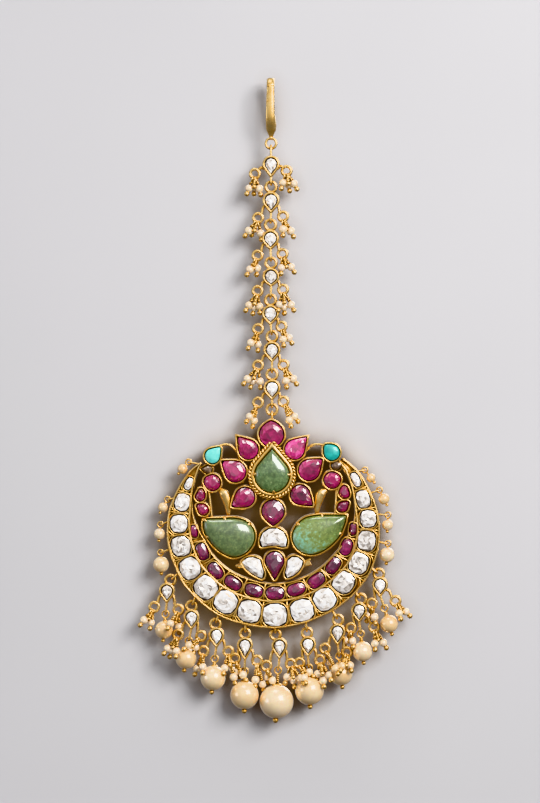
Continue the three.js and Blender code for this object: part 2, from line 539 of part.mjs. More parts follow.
/** A pearl on its headpin: the pin's bent loop at the top, the pearl, and the bead at its foot. */
function pinnedPearl(loopX, loopZ, loopRadius, x, z, radius) {
  const bead = radius * 0.12 + 0.32;
  const shoulder = radius * 0.79;
  const profile = [
    [0, -radius - 2 * bead],
    [bead, -radius - bead],
    [FINE_WIRE, -radius],
    [radius * 0.62, -shoulder],
    [radius, 0],
    [radius * 0.62, shoulder],
    [0, radius],
  ];
  const pearl = new THREE.LatheGeometry(profile.map(([r, y]) => new THREE.Vector2(r, y)), 10);
  pearl.rotateX(Math.PI / 2);
  pearl.translate(x, 0, z);
  const away = Math.atan2(z - loopZ, x - loopX);
  const knots = [new THREE.Vector3(x, 0, z)];
  for (let step = 0; step <= 6; step += 1) {
    const angle = away + THREE.MathUtils.degToRad(20 + 52 * step);
    knots.push(new THREE.Vector3(
      loopX + loopRadius * Math.cos(angle), 0, loopZ + loopRadius * Math.sin(angle)));
  }
  return fuse([solidOf(pearl), wire(knots, FINE_WIRE)]);
}

/** A soldered arm and the bunch of seed pearls that hangs from it, as one drop-shaped body. */
function armAndBunch(settingX, settingZ, { ringX, ringZ, x, z, end, half }, y) {
  const sides = 6;
  const low = (z + end) / 2;
  const sections = [
    { x: settingX, y: 0, z: settingZ, half: WIRE },
    { x: ringX, y: 0, z: ringZ + 0.4, half: WIRE * 1.4 },
    { x, y, z: low, half },
    { x, y, z: end, half: half * 0.4 },
  ];
  const positions = [];
  sections.forEach((section, row) => {
    const tilt = row === 0 ? Math.sign(ringX - settingX) * Math.PI / 2 : 0;
    for (let i = 0; i < sides; i += 1) {
      const angle = (2 * Math.PI * i) / sides;
      const across = section.half * Math.cos(angle);
      positions.push(
        section.x + across * Math.cos(tilt),
        section.y + section.half * Math.sin(angle),
        section.z + across * Math.sin(tilt));
    }
  });
  const index = [];
  for (let row = 0; row < sections.length - 1; row += 1) {
    for (let i = 0; i < sides; i += 1) {
      const a = row * sides + i;
      const b = row * sides + ((i + 1) % sides);
      index.push(a, b, b + sides, a, b + sides, a + sides);
    }
  }
  const last = (sections.length - 1) * sides;
  for (let i = 1; i < sides - 1; i += 1) {
    index.push(0, i + 1, i, last, last + i, last + i + 1);
  }
  const geometry = new THREE.BufferGeometry();
  geometry.setAttribute('position', new THREE.Float32BufferAttribute(positions, 3));
  geometry.setIndex(index);
  return solidOf(geometry);
}

/** A link's pear setting with its stone, tip down. */
function setting(x, z, radius, tip) {
  const outline = pear(x, z, radius, tip, 270, 8);
  const stoneRadius = radius - LINK_WALL;
  const stone = pear(x, z, stoneRadius, stoneRadius + (tip - radius) * 0.6, 270, 8);
  return fuse([
    slab(outline, LINK_BACK, LINK_RIM),
    facetedTop(stone, LINK_RIM, LINK_RIM - 0.5),
  ]);
}

/** How far forward a bunch leans so that it clears the pearls near it. */
function forwardOf(row) {
  let y = 0;
  for (const { pearlX, pearlZ, pearl } of DROPS) {
    const reach = pearl + row.half + PEARL_CLEARANCE;
    const near = Math.min(Math.abs(row.z - pearlZ), Math.abs(row.end - pearlZ));
    const away = Math.hypot(row.x - pearlX, near);
    if (away < reach) {
      y = Math.min(y, -Math.sqrt(reach ** 2 - away ** 2));
    }
  }
  return y;
}

/** The hook: a flattened wire bent over to the back, with a ring at its foot. */
function hook() {
  const foot = HOOK_RING.z + RING;
  const x = -0.3;
  const depth = HOOK_BEND * 1.06;
  const bendZ = -1.44;
  const knots = [
    new THREE.Vector3(HOOK_RING.x, 0, foot - 0.1),
    new THREE.Vector3(HOOK_RING.x, -0.3, foot + 1.4),
    new THREE.Vector3(x, -HOOK_BEND * 0.95, -4.4),
    new THREE.Vector3(x, -depth, -2.6),
  ];
  for (let degrees = 180; degrees >= 0; degrees -= 30) {
    const angle = THREE.MathUtils.degToRad(degrees);
    knots.push(new THREE.Vector3(x, depth * Math.cos(angle), HOOK_BEND * Math.sin(angle) + bendZ));
  }
  knots.push(
    new THREE.Vector3(x + 0.1, depth, -4.6),
    new THREE.Vector3(x + 0.4, HOOK_BEND * 1.12, -7.8),
    new THREE.Vector3(x + 0.6, HOOK_BEND * 1.3, -10.2),
  );
  return fuse([
    wire(knots, HOOK_WIDTH, 6, HOOK_FLATNESS),
    ring(HOOK_RING.x, HOOK_RING.z, RING),
  ]);
}

/** A chain link: ring or eye at the top, set stone, two arms with bunches, eye at the foot. */
function chainLink(row, index) {
  const top = row.ring === null ? FIRST_SETTING_TOP : row.ring - RING;
  const z = top - LINK_RADIUS;
  const next = CHAIN_LINKS[index + 1];
  const below = next ? { x: next.x, z: next.ring } : PENDANT_RING;
  const upper = row.ring === null
    ? eye([row.x, top - 0.3], HOOK_RING.x, HOOK_RING.z, RING)
    : ring(row.x, row.ring, RING);
  const bunches = CHAIN_BUNCHES.filter(({ link }) => link === index);
  return fuse([
    setting(row.x, z, LINK_RADIUS, z - row.tip),
    upper,
    eye([row.x, row.tip + TIP_SINK], below.x, below.z, RING),
    ...bunches.map((bunchRow) => armAndBunch(row.x, z - ARM_DROP, bunchRow, 0)),
  ]);
}

/** A drop's link: ring, set stone, arms with bunches, eye at the foot. */
function dropLink(row, index) {
  const loop = pearlLoop(row);
  const bunches = DROP_BUNCHES.filter(({ drop }) => drop === index);
  return fuse([
    setting(row.x, row.z, DROP_RADIUS, row.z - row.tip),
    ring(row.ringX, row.ringZ, DROP_RING),
    eye([row.x, row.tip + TIP_SINK], loop.x, loop.z, PIN_RING),
    ...bunches.map((bunchRow) => (
      armAndBunch(row.x, row.z - DROP_ARM_DROP, bunchRow, forwardOf(bunchRow)))),
  ]);
}

/** Where the headpin loop of a drop's large pearl hangs. */
function pearlLoop(row) {
  return {
    x: row.x + (row.pearlX - row.x) * 0.5,
    z: row.tip - LOOP_DROP,
  };
}

/** A drop's large pearl on its looped headpin. */
function dropPearl(row) {
  const loop = pearlLoop(row);
  return pinnedPearl(loop.x, loop.z, PIN_RING, row.pearlX, row.pearlZ, row.pearl);
}

/** A pearl on a looped headpin at the crescent's side. */
function sidePearl(row) {
  return pinnedPearl(row.ringX, row.ringZ, SIDE_RING, row.x, row.z, row.r);
}

/** Every stone that is a piece of its own, with its outline and seat. */
function looseStones() {
  const isFlower = (name) => name.startsWith('petal');
  const pears = PEAR_STONES.map((row) => ({
    ...row,
    outline: pear(row.x, row.z, row.r, row.tip, row.angle, row.sides ?? 10),
    rim: row.rim ?? (isFlower(row.name) ? FLOWER_RIM : BEZEL_RIM),
    wall: row.wall ?? BEZEL_WALL,
  }));
  const outlines = OUTLINE_STONES.map((row) => ({
    ...row,
    outline: smooth(row.outline, row.sides),
    rim: BEZEL_RIM,
    wall: BEZEL_WALL,
  }));
  return [...pears, ...outlines];
}

/** The crescent's plate with its raised rims and its two rows of fused stones. */
function crescent() {
  const outer = smoothOpen(OUTER_EDGE, 34);
  const middle = smoothOpen(MIDDLE_EDGE, 22);
  const inner = smoothOpen(INNER_EDGE, 22);
  const body = slab([...outer, ...[...inner].reverse()], BACK, RIM);
  const outerRow = channel(outer.slice(2, -2), OUTER_RIM_WIDTH, middle.slice(1, -1), MIDDLE_RIM_HALF);
  const innerRow = channel(middle.slice(4, -4), MIDDLE_RIM_HALF, inner.slice(4, -4), INNER_RIM_WIDTH);
  const channels = [outerRow, innerRow].map((outline) => slab(outline, PLATE, RIM - CUT_CLEAR));
  const stones = [
    ...OUTER_STONES.map((row) => rowStone(row, 8, false)),
    ...INNER_STONES.map((row) => rowStone(row, 8, true)),
  ].map((outline) => facetedTop(outline, PLATE, RIM - FUSED_RISE));
  const open = channels.reduce((whole, sunk) => whole.subtract(sunk), body);
  return fuse([open, ...stones]);
}

/** The pierced pendant frame: crescent, peacocks, flower and lotus, soldered into one. */
function pendantFrame() {
  const stones = looseStones();
  const bezels = stones.map(({ outline, wall, rim }) => slab(grow(outline, wall), BACK, rim));
  const smoky = SMOKY_STONES.map((row) => pear(row.x, row.z, row.r, row.tip, row.angle, 8));
  const smokyRim = BEZEL_RIM + 0.2;
  const topEye = eye([PENDANT_RING.x, -68.4], PENDANT_RING.x, PENDANT_RING.z, RING);
  const metal = fuse([
    crescent(),
    ...bezels,
    ...smoky.map((outline) => slab(grow(outline, SMOKY_WALL), BACK, smokyRim)),
    ...FEATHERS.map((outline) => slab(outline, BACK, PLATE)),
    ...STRIPS.map(({ points, width }) => slab(band(points, width), BACK, smokyRim)),
    topEye,
    ...DROPS.map((row) => eye([row.rimX, row.rimZ], row.ringX, row.ringZ, DROP_RING)),
    ...SIDE_PEARLS.map((row) => eye([row.rimX, row.rimZ], row.ringX, row.ringZ, SIDE_RING, FINE_WIRE)),
  ]);
  const seats = stones.map(({ outline }) => slab(grow(outline, STONE_GAP), SEAT, HEART_RIM - CUT_CLEAR));
  const open = seats.reduce((whole, seat) => whole.subtract(seat), metal);
  return fuse([open, ...smoky.map((outline) => facetedTop(outline, smokyRim, smokyRim - 0.5))]);
}

const tikka = new THREE.Group();
tikka.add(node('hook', hook(), 'gold'));
CHAIN_LINKS.forEach((row, i) => {
  tikka.add(node(`chain_link_${i + 1}`, chainLink(row, i), 'gold'));
});
tikka.add(node('pendant_ring', ring(PENDANT_RING.x, PENDANT_RING.z, RING), 'gold'));

const pendant = new THREE.Group();
pendant.add(node('pendant_frame', pendantFrame(), 'gold'));
for (const { name, outline, rim, rise, finish } of looseStones()) {
  const solid = rise ? cabochon(outline, rim, rise) : cutStone(outline, rim);
  pendant.add(node(name, solid, finish));
}
SIDE_PEARLS.forEach((row) => {
  pendant.add(node(`side_pearl_${row.name}`, sidePearl(row), 'pearl'));
});
DROPS.forEach((row, i) => {
  pendant.add(node(`drop_link_${i + 1}`, dropLink(row, i), 'gold'));
  pendant.add(node(`drop_pearl_${i + 1}`, dropPearl(row), 'pearl'));
});
tikka.add(pendant);

export default tikka;
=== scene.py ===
"""Looks of a maang tikka: a hook, a chain of stone-set links and a pierced crescent with pearl drops.

Sizes are in millimetres until a mesh is made. X is right, Z is up and the front faces -Y, as in the frame.
"""

import logging
import math
import random
from collections.abc import Sequence
from dataclasses import dataclass, field
from enum import Enum

import bmesh
import bpy
import numpy as np
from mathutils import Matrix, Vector


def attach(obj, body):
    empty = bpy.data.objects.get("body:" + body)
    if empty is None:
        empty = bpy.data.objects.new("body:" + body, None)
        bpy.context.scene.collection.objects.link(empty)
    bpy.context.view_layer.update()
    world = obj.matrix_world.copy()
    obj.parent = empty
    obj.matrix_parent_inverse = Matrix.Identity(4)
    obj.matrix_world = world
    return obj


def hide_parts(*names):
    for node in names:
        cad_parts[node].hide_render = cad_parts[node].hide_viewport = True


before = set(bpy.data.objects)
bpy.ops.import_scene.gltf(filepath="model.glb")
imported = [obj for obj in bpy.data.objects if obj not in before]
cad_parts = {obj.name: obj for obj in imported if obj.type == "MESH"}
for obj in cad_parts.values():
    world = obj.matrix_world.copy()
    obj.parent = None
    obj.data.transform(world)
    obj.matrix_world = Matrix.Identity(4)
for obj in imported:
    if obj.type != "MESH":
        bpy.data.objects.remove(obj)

log = logging.getLogger("tikka")

MM = 0.001                  # metres in a millimetre
PHOTO_SCALE = 0.2           # millimetres on the jewel for each pixel of the photograph
PHOTO_LEFT = -54.4          # X of the photograph's left edge
PHOTO_TOP = 16.0            # Z of the photograph's top edge
PHOTO_SIZE = (540, 803)     # pixels

WIRE = 0.3                  # radius of the ring wire
EYE_WIRE = 0.24             # radius of the wire of an eye that a ring hangs in
ARM_WIRE = 0.3              # radius of the arm that carries a bunch
PIN_WIRE = 0.18             # radius of a headpin's wire
RING = 1.0                  # wire-centre radius of a jump ring
LINK_RING = 1.04            # wire-centre radius of a ring between two links
SEED = 0.8                  # radius of a seed pearl
GRANULE = 0.54              # radius of the gold ball at a headpin's foot
BACK = 1.9                  # flat back of the pendant frame
PLATE = -0.8                # front of the crescent's plate
RIM = -1.3                  # front of the crescent's rims
BEZEL = -1.5                # front of a bezel inside the crescent
PETAL = -1.7                # front of a petal's bezel
HEART = -2.15               # front of the bezel round the flower's middle stone
SEAT = -0.3                 # floor of a stone's seat
HUB = np.array([0.3, -88.6])    # middle that the crescent's rows of stones face


class Finish(Enum):
    """The finishes of the jewel, by the name of their material."""

    GOLD = "antique_gold"
    # lac with painted shade in the groove round each stone
    SEAT = "lac_seat_and_shade"
    DIAMOND = "foiled_uncut_diamond"
    RUBY = "foiled_ruby"
    DEEP = "deep_ruby"
    PINK = "pink_ruby"
    MOSS = "moss_green_stone"
    OLIVE = "olive_green_stone"
    HEART = "flower_green_stone"
    SKY = "pale_turquoise"
    SEA = "deep_turquoise"
    SMOKE = "smoky_stone"
    PEARL = "cultured_pearl"


class Cut(Enum):
    """How a stone is shaped."""

    FLAT = "flat"
    UNCUT = "uncut"
    DOME = "dome"


def at(px: float, py: float) -> np.ndarray:
    """The place [x, z] of a pixel of the photograph."""
    return np.array([PHOTO_LEFT + PHOTO_SCALE * px, PHOTO_TOP - PHOTO_SCALE * py])


def upright(point: Sequence[float], y: float = 0.0) -> np.ndarray:
    """A place [x, z] in the plane of the jewel as a point [x, y, z]."""
    return np.array([point[0], y, point[1]])


def lifted(outline: np.ndarray, y: float) -> np.ndarray:
    """Places [x, z] at one depth as points [x, y, z]."""
    return np.insert(outline, 1, y, axis=1)


def unit(vector: np.ndarray) -> np.ndarray:
    """A vector at length one."""
    return vector / max(float(np.linalg.norm(vector)), 1e-9)


def curve_through(points: Sequence, steps: int, closed: bool = False) -> np.ndarray:
    """Evenly spaced points of a smooth curve through some points.

    Args:
        points: the points that the curve passes, in two or three dimensions.
        steps: how many points to return.
        closed: whether the curve joins its end to its start.

    Returns:
        The points, a row for each.
    """
    points = np.asarray(points, float)
    if closed:
        padded = np.vstack([points[-1], points, points[0], points[1]])
    else:
        padded = np.vstack([2 * points[0] - points[1], points, 2 * points[-1] - points[-2]])
    fine = []
    share = np.linspace(0, 1, 12, endpoint=False)[:, None]
    for a, b, c, d in zip(padded, padded[1:], padded[2:], padded[3:]):
        fine.append(0.5 * (2 * b + (c - a) * share + (2 * a - 5 * b + 4 * c - d) * share**2
                           + (3 * b - a - 3 * c + d) * share**3))
    fine.append(padded[-2][None])
    return spaced(np.vstack(fine), steps, closed)


def spaced(line: np.ndarray, steps: int, closed: bool = False) -> np.ndarray:
    """A line's points again, at even distances along it.

    Args:
        line: points of the line.
        steps: how many points to return.
        closed: whether the line's end meets its start and is left out.

    Returns:
        The new points.
    """
    run = np.concatenate([[0], np.cumsum(np.linalg.norm(np.diff(line, axis=0), axis=1))])
    places = np.linspace(0, run[-1], steps, endpoint=not closed)
    return np.stack([np.interp(places, run, line[:, k]) for k in range(line.shape[1])], axis=1)


def anticlockwise(outline: np.ndarray) -> np.ndarray:
    """A closed outline in anticlockwise order, starting at the same point.

    Args:
        outline: the corners, a row for each.

    Returns:
        The same corners, turned round if they ran clockwise.
    """
    x, z = outline[:, 0], outline[:, 1]
    area = np.sum(x * np.roll(z, -1) - np.roll(x, -1) * z)
    return outline if area > 0 else np.roll(outline[::-1], 1, axis=0)


def blunted(outline: np.ndarray, cut: float, sharp: float = 50.0) -> np.ndarray:
    """A closed outline whose sharp corners are cut off at a distance from their point.

    Args:
        outline: the corners, a row for each.
        cut: how far from its point a corner is cut.
        sharp: only turns of more degrees than this are cut.

    Returns:
        The outline with two corners for each sharp one.
    """
    points = []
    for before, corner, after in zip(np.roll(outline, 1, axis=0), outline, np.roll(outline, -1, axis=0)):
        back, on = unit(before - corner), unit(after - corner)
        turn = 180 - math.degrees(math.acos(max(-1.0, min(1.0, float(np.dot(back, on))))))
        points += [corner + back * cut, corner + on * cut] if turn > sharp else [corner]
    return np.array(points)


def rounded(outline: np.ndarray, steps: int = 48, sharp: float = 50.0) -> np.ndarray:
    """A closed outline with its edges smoothed and its sharp corners kept.

    Args:
        outline: the corners, a row for each.
        steps: about how many points to return.
        sharp: turns of more degrees than this stay corners.

    Returns:
        The smooth outline in anticlockwise order.
    """
    outline = anticlockwise(np.asarray(outline, float))
    before = outline - np.roll(outline, 1, axis=0)
    after = np.roll(outline, -1, axis=0) - outline
    turn = np.degrees(np.abs(np.arctan2(
        before[:, 0] * after[:, 1] - before[:, 1] * after[:, 0], np.sum(before * after, axis=1))))
    corners = np.flatnonzero(turn > sharp)
    if not len(corners):
        return curve_through(outline, steps, closed=True)
    outline = np.roll(outline, -corners[0], axis=0)
    corners = list(corners - corners[0]) + [len(outline)]
    looped = np.vstack([outline, outline[0]])
    total = np.sum(np.linalg.norm(np.diff(looped, axis=0), axis=1))
    stretches = []
    for first, last in zip(corners, corners[1:]):
        stretch = looped[first:last + 1]
        length = np.sum(np.linalg.norm(np.diff(stretch, axis=0), axis=1))
        count = max(3, round(steps * length / total))
        smooth = curve_through(stretch, count) if len(stretch) > 2 else spaced(stretch, count)
        stretches.append(smooth[:-1])
    return np.vstack(stretches)


def grown(outline: np.ndarray, distance: float) -> np.ndarray:
    """An anticlockwise outline moved outwards by a distance, or inwards by less than nothing.

    Args:
        outline: the corners, a row for each.
        distance: how far outwards.

    Returns:
        The moved outline.
    """
    edge = np.roll(outline, -1, axis=0) - outline
    side = np.stack([edge[:, 1], -edge[:, 0]], axis=1)
    side /= np.maximum(np.linalg.norm(side, axis=1, keepdims=True), 1e-9)
    normal = side + np.roll(side, 1, axis=0)
    normal /= np.maximum(np.linalg.norm(normal, axis=1, keepdims=True), 1e-9)
    reach = distance / np.maximum(np.sum(normal * side, axis=1), 0.6)
    return outline + normal * reach[:, None]


def drop_outline(x: float, z: float, radius: float, tip: float, degrees: float = 270.0,
                 steps: int = 40) -> np.ndarray:
    """A drop shape: a round end whose flanks run to a tip.

    Args:
        x: middle of the round end.
        z: middle of the round end.
        radius: radius of the round end.
        tip: distance from the middle to the tip.
        degrees: direction of the tip, from +X towards +Z.
        steps: how many points to return.

    Returns:
        The outline, anticlockwise, starting at the tip.
    """
    turned = math.radians(degrees)
    touch = math.acos(min(radius / tip, 0.98))
    sweep = np.linspace(touch, 2 * math.pi - touch, 14) + turned
    end = np.array([x, z]) + radius * np.stack([np.cos(sweep), np.sin(sweep)], axis=1)
    corner = np.array([x + tip * math.cos(turned), z + tip * math.sin(turned)])
    flank = (corner + end[0]) / 2, (corner + end[-1]) / 2
    return spaced(np.vstack([corner, flank[0], end, flank[1], corner]), steps, closed=True)


@dataclass
class Piece:
    """One piece of the jewel, gathered as grids of points in millimetres."""

    name: str
    points: list[np.ndarray] = field(default_factory=list)
    faces: list[list[int]] = field(default_factory=list)
    finishes: list[Finish] = field(default_factory=list)    # what each face is made of
    smooth: list[bool] = field(default_factory=list)        # whether each face is shaded smooth
    glow: list[np.ndarray] = field(default_factory=list)    # each point's place, lower left to upper right, for the stones' painted glow
    tone: list[float] = field(default_factory=list)         # each face's own shade
    count: int = 0                                          # points so far

    def grid(self, points: np.ndarray, finish: Finish, loop_rows: bool = False, loop_columns: bool = True,
             caps: bool = False, smooth: bool = True, triangles: bool = False, tone: float = 0.5,
             spread: float = 0.0) -> None:
        """Adds a surface through rows of points.

        Args:
            points: rows by columns by three.
            finish: what the surface is made of.
            loop_rows: whether the last row joins the first.
            loop_columns: whether the last column joins the first.
            caps: whether the first and last rows are filled.
            smooth: whether it is shaded smooth.
            triangles: whether each face is split, for facets.
            tone: a number from 0 to 1 that sets this stone's shade apart.
            spread: how far each facet's shade may lie from that.
        """
        rows, columns, _ = points.shape
        row = np.arange(rows if loop_rows else rows - 1)[:, None]
        column = np.arange(columns if loop_columns else columns - 1)[None, :]
        next_row, next_column = (row + 1) % rows, (column + 1) % columns
        corners = [row * columns + column, row * columns + next_column,
                   next_row * columns + next_column, next_row * columns + column]
        quads = np.stack([c + np.zeros_like(row * column) for c in corners], axis=-1).reshape(-1, 4)
        found = (quads + self.count).tolist()
        if triangles:
            found = [f for a, b, c, d in found for f in ([a, b, c], [a, c, d])]
        if caps:
            first = range(self.count, self.count + columns)
            last = range(self.count + (rows - 1) * columns, self.count + rows * columns)
            found += [list(first)[::-1], list(last)]
        flat = points.reshape(-1, 3)
        middle = (flat.min(axis=0) + flat.max(axis=0)) / 2
        half = max(float(np.ptp(flat[:, 0])), float(np.ptp(flat[:, 2])), 1e-6) / 2
        self.points.append(flat)
        self.glow.append((flat[:, 0] - middle[0] + flat[:, 2] - middle[2]) / (half * 1.6))
        luck = random.Random(self.count)
        self.tone += [tone + luck.uniform(-spread, spread) for _ in found]
        self.faces += found
        self.finishes += [finish] * len(found)
        self.smooth += [smooth] * len(found)
        self.count += len(flat)

    def tube(self, path: np.ndarray, radius: float | np.ndarray, finish: Finish = Finish.GOLD,
             sides: int = 10, closed: bool = False, flat: float = 1.0) -> None:
        """Adds a wire along a path.

        Args:
            path: points of its middle line.
            radius: its radius, or one for each point.
            finish: what it is made of.
            sides: corners of its section.
            closed: whether its ends meet.
            flat: its thickness as a share of its width.
        """
        path = np.asarray(path, float)
        if closed:
            along = np.roll(path, -1, axis=0) - np.roll(path, 1, axis=0)
        else:
            along = np.gradient(path, axis=0)
        along /= np.maximum(np.linalg.norm(along, axis=1, keepdims=True), 1e-9)
        side = unit(np.cross(along[0], [0.0, 1.0, 0.05]))
        sides_on = []
        for direction in along:
            side = unit(side - direction * np.dot(side, direction))
            sides_on.append(side)
        sides_on = np.array(sides_on)
        if closed:
            back = unit(sides_on[-1] - along[0] * np.dot(sides_on[-1], along[0]))
            twist = math.atan2(float(np.dot(np.cross(back, sides_on[0]), along[0])),
                               float(np.dot(back, sides_on[0])))
            turn = np.linspace(0, twist, len(path))[:, None]
            sides_on = sides_on * np.cos(turn) + np.cross(along, sides_on) * np.sin(turn)
        front = np.cross(along, sides_on)
        angle = np.linspace(0, 2 * math.pi, sides, endpoint=False)
        thick = np.broadcast_to(np.asarray(radius, float), len(path))[:, None, None]
        ring = (sides_on[:, None] * np.cos(angle)[None, :, None]
                + front[:, None] * np.sin(angle)[None, :, None] * flat)
        self.grid(path[:, None] + ring * thick, finish, loop_rows=closed, caps=not closed)

    def hoop(self, middle: np.ndarray, radius: float, wire: float, normal: np.ndarray = (0, 1, 0),
             steps: int = 28, sides: int = 10) -> None:
        """Adds a closed ring of round wire round a point, square to a direction.

        Args:
            middle: the ring's middle.
            radius: its wire-centre radius.
            wire: the wire's radius.
            normal: the direction that it is square to.
            steps: points round the ring.
            sides: corners of the wire's section.
        """
        normal = unit(np.asarray(normal, float))
        first = unit(np.cross(normal, [0.3, 0.2, 1.0]))
        second = np.cross(normal, first)
        angle = np.linspace(0, 2 * math.pi, steps, endpoint=False)[:, None]
        self.tube(middle + radius * (first * np.cos(angle) + second * np.sin(angle)), wire,
                  sides=sides, closed=True)

    def coil(self, start: np.ndarray, climb: np.ndarray, across: np.ndarray, other: np.ndarray, turns: float,
             steps: int, radius: float, wire: float) -> None:
        """Adds fine wire wrapped round a pin.

        Args:
            start: where the wraps begin.
            climb: from there to where they end.
            across: a direction square to the pin.
            other: the direction square to both.
            turns: how many wraps there are.
            steps: points along the wire.
            radius: the wraps' wire-centre radius.
            wire: the wire's radius.
        """
        angle = np.linspace(0, 2 * math.pi * turns, steps)[:, None]
        rise = np.linspace(0, 1, steps)[:, None] * climb[None]
        self.tube(start + rise + (across * np.cos(angle) + other * np.sin(angle)) * radius, wire, sides=6)

    def ball(self, middle: np.ndarray, radius: float, finish: Finish, steps: int = 20,
             squash: tuple[float, float, float] = (1.0, 1.0, 1.0), tone: float = 0.5) -> None:
        """Adds a round bead with its poles up and down.

        Args:
            middle: the bead's middle.
            radius: its radius.
            finish: what it is made of.
            steps: points round its girth.
            squash: its size along each axis, as a share.
            tone: sets its shade apart.
        """
        rows = steps * 2 // 3
        tilt = np.linspace(0.06, math.pi - 0.06, rows)[:, None]
        angle = np.linspace(0, 2 * math.pi, steps, endpoint=False)[None, :]
        shape = np.stack([np.sin(tilt) * np.cos(angle), np.sin(tilt) * np.sin(angle),
                          np.cos(tilt) + 0 * angle], axis=-1)
        self.grid(middle + shape * radius * np.asarray(squash), finish, caps=True, tone=tone)

    def skirt(self, outline: np.ndarray, section: list[tuple[float, float]],
              finish: Finish = Finish.GOLD) -> None:
        """Adds a wall round an outline, whose section is a loop of (distance outwards, y)."""
        rings = [lifted(grown(outline, out), y) for out, y in section]
        self.grid(np.stack(rings, axis=1), finish, loop_rows=True)

    def floor(self, outline: np.ndarray, y: float, finish: Finish) -> None:
        """Adds a thin plate that fills an outline, just behind y."""
        rings = [lifted(outline, level) for level in (y + 0.2, y)]
        self.grid(np.stack(rings), finish, caps=True, smooth=False)

    def finished(self, body: str, slot: str, *nodes: str) -> bpy.types.Object:
        """Makes the Blender object.

        Args:
            body: the moving body that it rides on.
            slot: the record's material slot, not used.
            nodes: the frame's nodes that it stands for.

        Returns:
            The object, already in place.
        """
        mesh = bpy.data.meshes.new(self.name)
        points = np.vstack(self.points)
        mesh.from_pydata((points * MM).tolist(), [], self.faces)
        used = list(dict.fromkeys(self.finishes))
        for finish in used:
            mesh.materials.append(bpy.data.materials[finish.value])
        order = {finish: i for i, finish in enumerate(used)}
        mesh.polygons.foreach_set("material_index", [order[finish] for finish in self.finishes])
        mesh.polygons.foreach_set("use_smooth", self.smooth)
        mesh.attributes.new("glow", "FLOAT", "POINT").data.foreach_set("value", np.concatenate(self.glow))
        mesh.attributes.new("tone", "FLOAT", "FACE").data.foreach_set("value", self.tone)
        work = bmesh.new()
        work.from_mesh(mesh)
        bmesh.ops.recalc_face_normals(work, faces=work.faces)
        work.to_mesh(mesh)
        work.free()
        made = bpy.data.objects.new(self.name, mesh)
        bpy.context.scene.collection.objects.link(made)
        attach(made, body)
        if nodes:
            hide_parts(*nodes)
        log.info("%s: %d faces", self.name, len(self.faces))
        return made


def srgb(colour: str) -> tuple[float, float, float, float]:
    """The linear colour of an sRGB hex value such as #C9973F.

    Args:
        colour: the hex value.

    Returns:
        Linear red, green and blue, and an alpha of one.
    """
    channels = [int(colour[i:i + 2], 16) / 255 for i in (1, 3, 5)]
    linear = [c / 12.92 if c <= 0.04045 else ((c + 0.055) / 1.055) ** 2.4 for c in channels]
    return (*linear, 1.0)


def per_mm(size: float) -> float:
    """A texture scale whose features are about this many millimetres wide."""
    return 1 / (size * MM)


def add(tree: bpy.types.NodeTree, kind: str, inputs: dict | None = None, stops: list | None = None,
        **settings: object) -> bpy.types.Node:
    """Adds a node with its settings and links.

    Args:
        tree: the tree that gets the node.
        kind: the node's type.
        inputs: a value, or an output to link, for each named or numbered input.
        stops: a colour ramp's (place, hex colour) pairs.
        settings: the node's own properties.

    Returns:
        The new node.
    """
    made = tree.nodes.new(kind)
    for name, value in settings.items():
        setattr(made, name, value)
    for key, value in (inputs or {}).items():
        if isinstance(value, bpy.types.NodeSocket):
            tree.links.new(value, made.inputs[key])
        else:
            made.inputs[key].default_value = value
    if stops:
        elements = made.color_ramp.elements
        while len(elements) < len(stops):
            elements.new(1.0)
        for element, (place, colour) in zip(elements, stops):
            element.position = place
            element.color = srgb(colour)
    return made


def blank(name: str, **values: object) -> tuple[bpy.types.Material, bpy.types.NodeTree, bpy.types.Node]:
    """A new material with its shader, and the shader's even values set on its own sockets.

    Args:
        name: the material's name.
        values: the shader's inputs, an underscore for each space.

    Returns:
        The material, its tree and its shader.
    """
    material = bpy.data.materials.new(name)
    material.use_nodes = True
    tree = material.node_tree
    shader = tree.nodes["Principled BSDF"]
    for key, value in values.items():
        shader.inputs[key.replace("_", " ")].default_value = value
    return material, tree, shader


